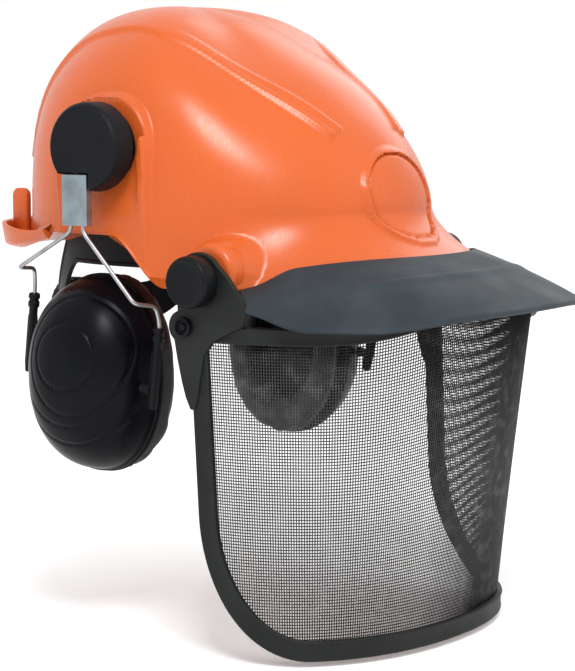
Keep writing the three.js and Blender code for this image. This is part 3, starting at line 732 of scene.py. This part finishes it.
def make_springs():
    """The wire and the plate of each arm."""
    make_pair("spring_wire", tube(wire_path(), WIRE_RADIUS), STEEL, "arm_wire", sharp=60)
    make_pair("spring_plate", folded_plate(), PLATE_STEEL, "arm_plate", bevel=0.35)


def folded_plate():
    """Sheet steel folded round the wire, with its two long edges standing up behind."""
    width, height = PLATE.width, PLATE.height
    outer, inner = PLATE.x + 2.5, PLATE.x - 2.5
    thick = PLATE.thickness
    section = [(outer, -width / 2), (outer, width / 2), (inner, width / 2), (inner, width / 2 - thick),
               (outer - thick, width / 2 - thick), (outer - thick, -width / 2 + thick),
               (inner, -width / 2 + thick), (inner, -width / 2)]
    rows = []
    for z in (PLATE.z - height / 2, PLATE.z + height / 2):
        rows.append([Vector((-x, PLATE.y + y, z)) for x, y in section])
    return skin(rows)


def make_sleeves():
    """Plastic sleeves slide on the wire's legs: a flared collar, a slim barrel and a peg to the cup."""
    tilt_axis = (REAR_LEG - FRONT_LEG).normalized()
    profile = [(0, 1.6), (0, 2.5), (0.6, 3.1), (2.6, 3.2), (3.2, 2.6), (4.4, 2.6), (5, 3.2), (7.4, 3.1),
               (8.4, 2.4), (30, 2.3), (43.6, 2.4), (45, 2.0), (45, 1.6)]
    for place, leg, toward, reach in (("rear", REAR_LEG, -1, 2.3), ("front", FRONT_LEG, 1, 8.3)):
        top = leg + LEG_DOWN * 3
        barrel = stepped_bar([top + LEG_DOWN * d for d, _ in profile], [r for _, r in profile], LEG_DOWN)
        root = leg + LEG_DOWN * (LEG_LENGTH - 2)
        peg = tube([root + tilt_axis * toward * 1.8, root + tilt_axis * toward * reach], 2.8, 24)
        sleeve = joined(barrel, sleeve_fin(top), peg)
        make_pair(f"sleeve_{place}", sleeve, BLACK, f"{place}_sleeve", bevel=0.25)


def sleeve_fin(top):
    """A flat web down the outside of a sleeve stiffens it."""
    across = Vector((0, 1, 0)).cross(LEG_DOWN).normalized()
    side = LEG_DOWN.cross(across).normalized()
    rows = []
    corners = ((1, 1), (-1, 1), (-1, -1), (1, -1))
    for down, half in ((9, 1.8), (14, 3.0), (40, 3.0), (44, 2.4)):
        centre = top + LEG_DOWN * down
        rows.append([centre + side * a * half + across * b * 0.9 for a, b in corners])
    return skin(rows)


def oval_point(turn, x, scale, grow=0.0):
    """A point of the cup's outline, level with a plane at -x."""
    y = (CUP.half_width * scale + grow) * power(cos(turn), 0.92)
    z = (CUP.half_height * scale + grow) * power(sin(turn), 0.92)
    return Vector((-x, CUP.y + y, CUP.z + z))


def cup_groove(p):
    """Depth of the moulded contour lines on the cup: loops that open towards the bottom."""
    depth = 0
    for centre_y, centre_z, half_y, half_z, top_fade in (
        (21, -37, 19, 18, 0), (17, -37, 29, 32, 0), (20, -38, 36, 37, 1), (20, -38, 41, 47, 1),
    ):
        off = hypot((p.y - centre_y) / half_y, (p.z - centre_z) / half_z) - 1
        line = exp(-((off * half_y / 0.55) ** 2))
        fade = smooth(-58, -66, p.z) if top_fade else smooth(12, 4, p.z)
        depth = max(depth, line * fade)
    return depth


def cup_dome():
    """The cup's outside: a full dome with a soft step at the rim."""
    turns = full_turn(200)
    middle = Vector((-CUP.rim_x, CUP.y, CUP.z))
    rows = []
    for depth, grow in ((0.0, 0.0), (1.2, 0.9), (3.0, 0.9), (3.6, 0.0)):
        rows.append([oval_point(a, CUP.rim_x + depth, 1, grow) for a in turns])
    for t in spread(72, 0.09, 0.985):
        angle = t * pi / 2
        ring = []
        for a in turns:
            p = oval_point(a, CUP.rim_x + CUP.depth * sin(angle), cos(angle) ** 0.75)
            ring.append(p + (middle - p).normalized() * 0.8 * cup_groove(p))
        rows.append(ring)
    return with_last_cap(rows)


def cup_inside():
    """The cup's hollow, a wall's thickness inside its dome."""
    turns = full_turn(96)
    rows = [[oval_point(a, CUP.rim_x, 1) for a in turns]]
    for angle in spread(16, 0.0, 0.48 * pi):
        x = CUP.rim_x + (CUP.depth - CUP.wall) * sin(angle)
        rows.append([oval_point(a, x, cos(angle) ** 0.75, -CUP.wall) for a in turns])
    return skin(rows)


def oval_ring(from_x, to_x, outer, inner):
    """A flat oval ring with softened edges."""
    turns = full_turn(120)
    middle = (from_x + to_x) / 2
    half = abs(from_x - to_x) / 2
    section = [(outer - 0.012, half), (outer, half * 0.5), (outer, -half * 0.5), (outer - 0.012, -half),
               (inner, -half), (inner, half)]
    rows = [[oval_point(a, middle + x, s) for a in turns] for s, x in section]
    return skin(rows, close_rows=True)


def make_cups():
    """A cup's dome, its hollow and the plate that carries the cushion."""
    plate = oval_ring(CUP.rim_x - 0.2, CUP.rim_x - 3, 1.03, 0.6)
    make_pair("cup_dome", cup_dome(), CUP_PLASTIC, "cup_shell", sharp=60)
    make_pair("cup_inside", cup_inside(), CUP_PLASTIC, "cup_shell")
    make_pair("cup_rim", plate, BLACK, "cup_back_plate", sharp=50)


def cushion_ring():
    """The ear cushion: a fat oval ring, fuller on the outside, with a seam round its middle."""
    rows = []
    for i, turn in enumerate(full_turn(120)):
        crumple = sin(26 * turn + noise.noise(Vector((i * 0.2, 0, 0))) * 3)
        ring = []
        for j, a in enumerate(full_turn(28)):
            swell = 1 + 0.06 * noise.noise(Vector((cos(turn) * 5, sin(turn) * 5, j * 0.4)))
            seam = 1 - 0.06 * exp(-((sin(a - 0.2) / 0.12) ** 2)) * (cos(a) > 0)
            pinch = 1 + crumple * 0.0072 * (1 - abs(cos(a)))
            fat = swell * seam * pinch
            ring.append(oval_point(turn, CUSHION.x + CUSHION.half_thickness * sin(a) * fat,
                                   CUSHION.size + CUSHION.roll * cos(a) * fat))
        rows.append(ring)
    return skin(rows, close_rows=True)


def make_cushions():
    """An ear cushion and a foam liner for each cup."""
    for cushion in make_pair("cushion", cushion_ring(), LEATHER, "ear_cushion", sharp=80):
        settle(cushion, 12)
    for liner in make_pair("liner", liner_pad(), FOAM, "cup_liner", sharp=60):
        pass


def liner_pad():
    """Foam in the cup, with a slightly hollow, uneven face."""
    turns = full_turn(90)
    size = LINER.size
    rows = []
    for x, scale in ((LINER.back_x, size - 0.06), (95, size), (92, size + 0.025), (91.2, size)):
        rows.append([oval_point(a, x, scale) for a in turns])
    for t in spread(14, 0.95, 0.05):
        ring = []
        for a in turns:
            p = oval_point(a, LINER.face_x, size * t)
            lumps = 2.4 * noise.noise(p * 0.12) * t * (1 - t)
            ring.append(p + Vector((lumps - LINER.hollow * (1 - t * t), 0, 0)))
        rows.append(ring)
    return skin(rows)


def settle(piece, frames):
    """A short cloth run lets a stuffed skin find its own bulges and creases."""
    scene = bpy.context.scene
    before = [v.co.copy() for v in piece.data.vertices]
    cloth = piece.modifiers.new("settle", "CLOTH")
    cloth.settings.use_pressure = True
    cloth.settings.uniform_pressure_force = 2.5
    cloth.settings.effector_weights.gravity = 0
    cloth.settings.tension_stiffness = 25
    cloth.settings.compression_stiffness = 12
    cloth.settings.bending_stiffness = 0.6
    cloth.settings.shrink_min = -0.03
    cloth.settings.quality = 4
    cloth.point_cache.frame_start = 1
    cloth.point_cache.frame_end = frames
    for step in range(1, frames + 1):
        scene.frame_set(step)
    apply_modifiers(piece)
    scene.frame_set(1)
    limit = 1.1 * MM
    for vertex, start in zip(piece.data.vertices, before):
        moved = vertex.co - start
        if moved.length > limit:
            vertex.co = start + moved.normalized() * limit
    piece.data.shade_smooth()


# ---------------------------------------------------------------- visor
def visor_curve(z, rise, post_y, depth, half_width):
    """Evenly spaced points round the face, from the right post to the left one. The middle may rise."""
    fine = []
    for a in spread(1600, -pi / 2, pi / 2):
        x = half_width * power(sin(a), 2 / 2.2)
        lift = rise * (1 - smooth(15, 100, abs(x)))
        fine.append(Vector((x, post_y - depth * max(cos(a), 0) ** (2 / 2.2), z + lift)))
    lengths = [0.0]
    for p, q in zip(fine, fine[1:]):
        lengths.append(lengths[-1] + (q - p).length)
    out, i = [], 0
    for target in spread(241, 0, lengths[-1]):
        while i < len(fine) - 2 and lengths[i + 1] < target:
            i += 1
        t = (target - lengths[i]) / (lengths[i + 1] - lengths[i])
        out.append(fine[i].lerp(fine[i + 1], min(max(t, 0), 1)))
    return out


# The upper and the lower edge of the visor's bowl.
TOP_CURVE = visor_curve(VISOR.top_z, VISOR.top_rise, VISOR.top_y, VISOR.top_depth, VISOR.x)
BOTTOM_CURVE = visor_curve(VISOR.bottom_z, 0, VISOR.bottom_y, VISOR.bottom_depth, VISOR.x - 2)
VISOR_GIRTH = sum((q - p).length for p, q in zip(TOP_CURVE, TOP_CURVE[1:]))


def curve_at(curve, u):
    """A point part of the way along a curve, u being 0 to 1."""
    place = min(max(u, 0), 1) * (len(curve) - 1)
    i = min(int(place), len(curve) - 2)
    return curve[i].lerp(curve[i + 1], place - i)


def visor_point(u, h):
    """u runs round the face and h from the top down."""
    return curve_at(TOP_CURVE, u).lerp(curve_at(BOTTOM_CURVE, u), h)


def visor_normal(u, h):
    """The direction out of the visor's bowl."""
    across = visor_point(min(u + 0.004, 1), h) - visor_point(max(u - 0.004, 0), h)
    down = visor_point(u, 1) - visor_point(u, 0)
    return down.cross(across).normalized()


def frame_line():
    """The frame's centre line as (u, h), with its width at each point."""
    edge = 0.012
    line = [(edge, h, FRAME_WIDTH) for h in spread(14, 0, 1 - CHIN_RADIUS_H)[:-1]]

    def corner(u, start, end):
        for a in spread(26, start, end):
            line.append((u + CHIN_RADIUS_U * cos(a), 1 - CHIN_RADIUS_H + CHIN_RADIUS_H * sin(a),
                         FRAME_WIDTH))

    corner(edge + CHIN_RADIUS_U, pi, pi / 2)
    line += [(u, 1, FRAME_WIDTH) for u in spread(60, edge + CHIN_RADIUS_U, 1 - edge - CHIN_RADIUS_U)[1:-1]]
    corner(1 - edge - CHIN_RADIUS_U, pi / 2, 0)
    line += [(1 - edge, h, FRAME_WIDTH) for h in spread(14, 1 - CHIN_RADIUS_H, 0)[1:]]
    line += [(u, 0, FRAME_TOP_WIDTH) for u in spread(90, 1 - edge, edge)[1:-1]]
    return line


def make_frame():
    """A moulded strip round the mesh, thicker along its outer edge."""
    line = frame_line()
    points = [visor_point(u, h) for u, h, _ in line]
    outs = [visor_normal(u, h) for u, h, _ in line]
    rows = []
    for i, (point, out) in enumerate(zip(points, outs)):
        along = (points[(i + 1) % len(points)] - points[i - 1]).normalized()
        side = along.cross(out).normalized()
        half, thick = line[i][2] / 2, FRAME_THICKNESS / 2
        section = [(-half, -thick), (-half, thick * 0.7), (-half + 0.8, thick), (-half + 2.4, thick * 0.72),
                   (half - 3.2, thick * 0.72), (half - 2, thick * 1.05), (half - 0.7, thick * 1.05),
                   (half, thick * 0.5), (half, -thick)]
        rows.append([point + side * a + out * b for a, b in section])
    make_piece("visor_rim", *skin(rows, close_rows=True), FRAME_BLACK, "visor_frame", sharp=32, bevel=0.3)


def wing_outline():
    """Round the knob, out to the end of the peak, down into the post and back up past the pin."""
    peak_end = [(-81, 10.5), (-90.5, -1), (-93.5, -8), (-91, -15), (-80, -20)]
    front = [(-72, -24), (-66.5, -31), (-64, -42), (-62.5, -52), (-60.5, -60)]
    back = [(-57.5, -60), (-54.5, -54), (-52, -46), (-49, -34)]
    over_knob = arc(KNOB.y, KNOB.z, 15, 0.06, 0.8)
    round_pin = arc(PIN.y + 2, PIN.z, 8.5, -0.3, 0.4)
    return over_knob + peak_end + front + back + round_pin


def make_wings():
    """Side plates carry the frame on the knobs."""
    wing = slab(wing_outline(), WING_FACE - WING_THICKNESS, WING_FACE)
    make_pair("wing", wing, FRAME_BLACK, "visor_frame", bevel=0.6)


def wire_limits(h):
    """How far from the edge of the visor a level wire starts."""
    edge = 0.014
    over = h - (1 - CHIN_RADIUS_H)
    if over <= 0:
        return edge
    return edge + CHIN_RADIUS_U * (1 - sqrt(max(0, 1 - (over / CHIN_RADIUS_H) ** 2)))


def wire_foot(u):
    """How far down an upright wire ends."""
    bend = min(max(0, 1 - (min(u, 1 - u) - 0.012) / CHIN_RADIUS_U), 1)
    return 1 - CHIN_RADIUS_H * (1 - sqrt(1 - bend**2))


def thin_wire(path, outs, side):
    """A four-sided wire that faces out with one edge."""
    rows = []
    for point, out in zip(path, outs):
        rows.append([point + across * MESH_WIRE for across in (side, out, -side, -out)])
    return skin(rows)


def make_mesh():
    """Woven wire: upright wires pass outside the level ones, a wire's thickness apart."""
    inward = -FRAME_THICKNESS / 2 - 0.6
    parts = []
    count = round(VISOR_GIRTH / MESH_PITCH)
    for u in spread(count, 0.016, 0.984):
        out = visor_normal(u, 0.5)
        path = [visor_point(u, h) + out * (inward + MESH_WIRE) for h in (0.0, wire_foot(u))]
        down = (path[1] - path[0]).normalized()
        parts.append(thin_wire(path, [out] * 2, down.cross(out)))
    make_piece("mesh_uprights", *joined(*parts), MESH_WIRE_METAL, "visor_mesh", sharp=180)

    parts = []
    height = (TOP_CURVE[0] - BOTTOM_CURVE[0]).length
    count = round(height / MESH_PITCH)
    for h in spread(count, 0.01, 0.995):
        start = wire_limits(h)
        steps = spread(64, start, 1 - start)
        outs = [visor_normal(u, h) for u in steps]
        path = [visor_point(u, h) + out * (inward - MESH_WIRE) for u, out in zip(steps, outs)]
        parts.append(thin_wire(path, outs, Vector((0, 0, 1))))
    make_piece("mesh_levels", *joined(*parts), MESH_WIRE_METAL, "visor_mesh", sharp=180)


def peak_inner(a):
    """The peak's inner edge lies on the brim, and on its rim towards the temples."""
    on_brim = mix(0.12, 0.25, smooth(0.5, 1, cos(a)))
    p = shell_point(a, mix(on_brim, 0, smooth(0.66, 0.86, abs(a))))
    return p + outward(a) * 2.7 + Vector((0, 0, 1))


def peak_outer(a):
    """The peak's outer edge droops towards the temples and rises to the wings."""
    reach = plan_reach(a, PEAK.half_width, PEAK.front, PEAK.front, 2.5)
    z = mix(-14.4, -6.6, smooth(0.72, 1, cos(a))) + 9 * smooth(1, 1.3, abs(a))
    return Vector((reach * sin(a), PEAK.centre_y - reach * cos(a), z))


def peak_point(k, t):
    """t = 0 is the inner edge and 1 the outer one. A low crease runs along the middle."""
    p = peak_inner(k * PEAK.inner_turn).lerp(peak_outer(k * PEAK.outer_turn), t)
    crease = 0.9 * exp(-(((t - 0.42) / 0.05) ** 2)) * smooth(1, 0.2, abs(k))
    sag = 0.8 * noise.noise(Vector((k * 2.4, t * 1.2, 3.1))) * t
    return p + Vector((0, 0, 8 * t * (1 - t) + crease + sag))


def peak_strip(start, end):
    """A rounded edge outside, and both faces of the soft sheet."""
    thickness = PEAK.thickness
    rows = []
    for k in spread(200, -1, 1):
        top = [peak_point(k, t) for t in spread(26, start, end)]
        edge = top[-1] - top[-2]
        lip = top[-1] + edge.normalized() * 0.7 - Vector((0, 0, thickness / 2))
        bottom = [p - Vector((0, 0, thickness)) for p in reversed(top)]
        rows.append(top + [lip] + bottom)
    return skin(rows)


def make_peak():
    """The stiff sheet goes up with the visor; the soft lip inside the seam stays on the brim."""
    make_piece("peak_sheet", *peak_strip(PEAK.seam, 1), PEAK_PLASTIC, "visor_peak", sharp=50)
    make_piece("peak_soft_lip", *peak_strip(0, PEAK.seam), PEAK_PLASTIC, "peak_lip", sharp=50)


def make_knobs():
    """Hand knobs with a shallow dished face, and the dished pins below them."""
    radius, face, inner = KNOB.radius, KNOB.outer, KNOB.inner
    profile = [(0, face - 0.6), (radius - 3, face - 0.5), (radius - 2.2, face), (radius - 0.5, face - 1.2),
               (radius, face - 3), (radius, inner + 1), (radius - 1, inner), (4.4, inner)]
    seat, rim = WING_FACE + 0.3, PIN.radius
    pin = [(0, seat + 1.8), (1.6, seat + 1.8), (2.4, seat + 0.5), (3.4, seat + 0.6), (4, seat + 2.6),
           (rim, seat + 2.2), (rim, seat), (2.2, seat), (2.2, seat - 4), (0, seat - 4)]
    make_pair("knob", turned(profile, KNOB.y, KNOB.z, round_by=0.6), BLACK, "visor_knob")
    make_pair("pin", turned(pin, PIN.y, PIN.z, 64, 0.4), BLACK, "frame_pin")


# ---------------------------------------------------------------- harness
def band_point(angle, outside, z, longer=0):
    """A point of the headband's oval, or of one outside it by some millimetres."""
    half_length = BAND.half_length + outside + longer
    reach = plan_reach(angle, BAND.half_width + outside, half_length, half_length, 2.1)
    return Vector((reach * sin(angle), BAND.y - reach * cos(angle), z))


def band_middle(angle):
    """Height of the headband's middle line, which dips over the forehead."""
    return 28 - 11 * smooth(0.3, 0.9, cos(angle))


def band_strip(turns, outside, section, middle, closed=False, longer=0):
    """A strip round the head; section is (up, out) points."""
    rows = []
    for a in turns:
        centre = band_point(a, outside, middle(a), longer)
        rows.append([centre + outward(a) * out + Vector((0, 0, up)) for up, out in section])
    return skin(rows, close_rows=closed)


def ribbed_section(height, thickness):
    """A strip with a bead along each edge."""
    h, t = height / 2, thickness / 2
    return [(-h, -t), (-h, t * 1.3), (-h + 1.8, t * 1.3), (-h + 2.4, t * 0.6), (h - 2.4, t * 0.6),
            (h - 1.8, t * 1.3), (h, t * 1.3), (h, -t)]


def nape_middle(angle):
    """Height of the nape strap's middle line, which drops behind the head."""
    return mix(NAPE.side_z, NAPE.back_z, smooth(0.6, 0.95, -cos(angle)))


def make_bands():
    """The closed headband, and the nape strap outside its rear half."""
    section = ribbed_section(BAND.height, BAND.thickness)
    strip = band_strip(full_turn(200), 0, section, band_middle, closed=True)
    make_piece("head_band", *strip, HARNESS, "headband", bevel=0.3)
    section = ribbed_section(NAPE.height, 2)
    turns = spread(180, NAPE.start, TAU - NAPE.start)
    strip = band_strip(turns, 3, section, nape_middle, longer=NAPE.longer)
    make_piece("nape_band", *strip, BLACK, "nape_strap", bevel=0.3)


def make_sweatband():
    """A stitched, padded band on the forehead side of the headband."""
    rows = []
    turns = spread(150, -SWEATBAND.end_turn, SWEATBAND.end_turn)
    for i, a in enumerate(turns):
        centre = band_point(a, -SWEATBAND.inside, band_middle(a))
        ends = min(1, min(i, len(turns) - 1 - i) / 6) ** 0.5
        ring = []
        for turn in full_turn(24):
            puff = 1 + 0.14 * noise.noise(Vector((a * 7, cos(turn), 8)))
            stitch = 0.12 * (i % 5 == 0) * (abs(cos(turn)) > 0.8)
            up = SWEATBAND.half_height * power(cos(turn), 0.7) * mix(0.9, 1, ends)
            thick = SWEATBAND.half_thickness * power(sin(turn), 0.8) * ends * puff - stitch
            ring.append(centre + outward(a) * thick + Vector((0, 0, up)))
        rows.append(ring)
    pad = make_piece("forehead_pad", *skin(rows), LEATHER, "sweatband", sharp=80)


def make_dial():
    """A knurled dial on a rounded housing."""
    strap_y = band_point(pi, 4, 0, NAPE.longer).y
    z = NAPE.back_z
    width, height = 52, 26
    outline = rounded_rectangle(width, height, 8)
    rows = []
    for depth, grow in ((0.5, -0.5), (1.2, 0), (6.6, 0), (8, -1.4)):
        wider, taller = 1 + 2 * grow / width, 1 + 2 * grow / height
        rows.append([Vector((a * wider, strap_y + depth, z + b * taller)) for a, b in outline])
    make_piece("ratchet_housing", *skin(rows), HARNESS, "dial_housing", sharp=50)
    rows = []
    for depth, radius, knurl in ((8.4, 16.4, 0), (9, 17, 0.5), (15.6, 16.8, 0.5), (17.6, 15.4, 0.2),
                                 (18.8, 13.4, 0), (19, 11, 0), (17.8, 9, 0), (17.8, 3, 0)):
        ring = []
        for a in full_turn(8 * DIAL_TEETH):
            r = radius - knurl * (1 + cos(DIAL_TEETH * a))
            ring.append(Vector((r * cos(a), strap_y + depth, z + r * sin(a))))
        rows.append(ring)
    make_piece("ratchet_dial", *skin(rows), BLACK, "nape_dial", sharp=50)


def crown_strap(start_angle, end_angle, top_z):
    """Webbing over the head, between two clips; its edges curl down a little."""
    start = band_point(start_angle, 6, band_middle(start_angle) + STRAP_FOOT)
    end = band_point(end_angle, 6, band_middle(end_angle) + STRAP_FOOT)
    path = []
    for t in spread(81):
        p = start.lerp(end, (1 - cos(pi * t)) / 2)
        rise = max(sin(pi * t), 0) ** 1.15
        p.z = mix(start.z, end.z, t) + (top_z - (start.z + end.z) / 2) * rise
        path.append(p)
    along = end - start
    along.z = 0
    across = Vector((-along.y, along.x, 0)).normalized()
    half_width, half_thickness = STRAP.width / 2, STRAP.thickness / 2
    lower = [(a, -1) for a in spread(5, -1, 1)]
    upper = [(a, 1) for a in spread(5, 1, -1)]
    rows = []
    for i, p in enumerate(path):
        tangent = (path[min(i + 1, len(path) - 1)] - path[max(i - 1, 0)]).normalized()
        out = across.cross(tangent).normalized()
        ripple = 0.25 * noise.noise(p * 0.05)
        section = [(half_width * a, half_thickness * b - STRAP.curl * a * a) for a, b in lower + upper]
        rows.append([p + across * aside + out * (height + ripple) for aside, height in section])
    return skin(rows)


def make_crown_straps():
    """One strap from side to side, and two that cross over it, each a step higher."""
    front, side, rear = CLIP_TURN["front"], CLIP_TURN["side"], CLIP_TURN["rear"]
    routes = (("middle", side, -side), ("a", front, TAU - rear), ("b", -front, rear))
    for order, (name, start, end) in enumerate(routes):
        part = crown_strap(start, end, STRAP.lowest_z + order * STRAP.step)
        make_piece(f"webbing_{name}", *part, WEBBING, f"crown_strap_{name}", sharp=50)


def make_clips():
    """Moulded clips, with rounded edges, hang the straps from the shell."""
    for place, angle in CLIP_TURN.items():
        centre = band_point(-angle, 9, band_middle(angle) + BAND.height / 2 - 4)
        out = outward(-angle)
        side = Vector((-out.y, out.x, 0))
        rows = []
        for depth, grow in ((-6.5, -0.8), (-5.6, 0), (5.2, 0), (6.5, -1.2)):
            outline = rounded_rectangle(18 + 2 * grow, 12 + 2 * grow, 2)
            rows.append([centre + out * depth + side * a + Vector((0, 0, b)) for a, b in outline])
        make_pair(f"clip_{place}", skin(rows), HARNESS, f"{place}_clip", sharp=50)


def finish_hardware():
    """The bolts and washers keep their CAD shape; they get metal, plastic and rounded edges."""
    for name in SIDES:
        for node, material in (("visor_bolt", STEEL), ("visor_washer", HARNESS)):
            piece = frame["nodes"][f"{node}_{name}"]
            piece.data.materials.clear()
            piece.data.materials.append(material)
            add_bevel(piece, 0.3)


# ---------------------------------------------------------------- studio
def make_floor():
    """A plain white floor, far wider than the view."""
    half = 6000
    corners = [(half * x, half * y, FLOOR_Z) for x, y in ((-1, -1), (1, -1), (1, 1), (-1, 1))]
    floor = add_object("floor", make_mesh_data("floor", corners, [(0, 1, 2, 3)]))
    m = Nodes("floor")
    m.put("Base Color", (0.97, 0.97, 0.97, 1))
    m.put("Roughness", 0.9)
    m.put("Emission Color", (1, 1, 1, 1))
    m.put("Emission Strength", 0.1)
    floor.data.materials.append(m.material)


def area_light(name, direction, distance, size, watts):
    """A square white light that faces the helmet; distance and size are in metres."""
    light = bpy.data.lights.new(name, "AREA")
    light.energy = watts
    light.size = size
    lamp = add_object(name, light)
    target = Vector((0, 0, 0.02))
    lamp.location = target + Vector(direction).normalized() * distance
    lamp.rotation_euler = (target - lamp.location).to_track_quat("-Z", "Y").to_euler()


def make_lights():
    """White surroundings, a key light from the upper right of the wearer, and two soft fills."""
    world = bpy.data.worlds.new("studio")
    bpy.context.scene.world = world
    world.use_nodes = True
    background = world.node_tree.nodes["Background"]
    background.inputs["Color"].default_value = (1, 1, 1, 1)
    background.inputs["Strength"].default_value = 1.0
    area_light("key", (-0.52, -0.46, 0.72), 1.5, 0.42, 14)
    area_light("front_fill", (0.35, -0.9, 0.45), 1.8, 1.2, 2)
    area_light("right_rim", (0.95, 0.1, 0.55), 1.8, 1.0, 4)


def make_camera():
    """A long lens, from the wearer's right and a little in front."""
    azimuth, elevation = radians(CAMERA.azimuth), radians(CAMERA.elevation)
    right = Vector((cos(azimuth), sin(azimuth), 0))
    back = outward(azimuth) * cos(elevation) + Vector((0, 0, sin(elevation)))
    target = (Vector((0, 0, CAMERA.aim_z)) + right * CAMERA.aim_right) * MM
    data = bpy.data.cameras.new("camera")
    data.sensor_fit = "VERTICAL"
    data.sensor_height = 36
    data.lens = CAMERA.lens
    camera = add_object("camera", data)
    camera.location = target + back * CAMERA.distance * MM
    camera.rotation_euler = (target - camera.location).to_track_quat("-Z", "Y").to_euler()
    bpy.context.scene.camera = camera


make_shell()
make_gutter()
make_hooks()
make_bosses()
make_arm_swivels()
make_springs()
make_sleeves()
make_cups()
make_cushions()
make_frame()
make_wings()
make_mesh()
make_peak()
make_knobs()
make_bands()
make_sweatband()
make_dial()
make_crown_straps()
make_clips()
finish_hardware()
make_floor()
make_lights()
make_camera()
bpy.context.scene.view_settings.view_transform = "Standard"
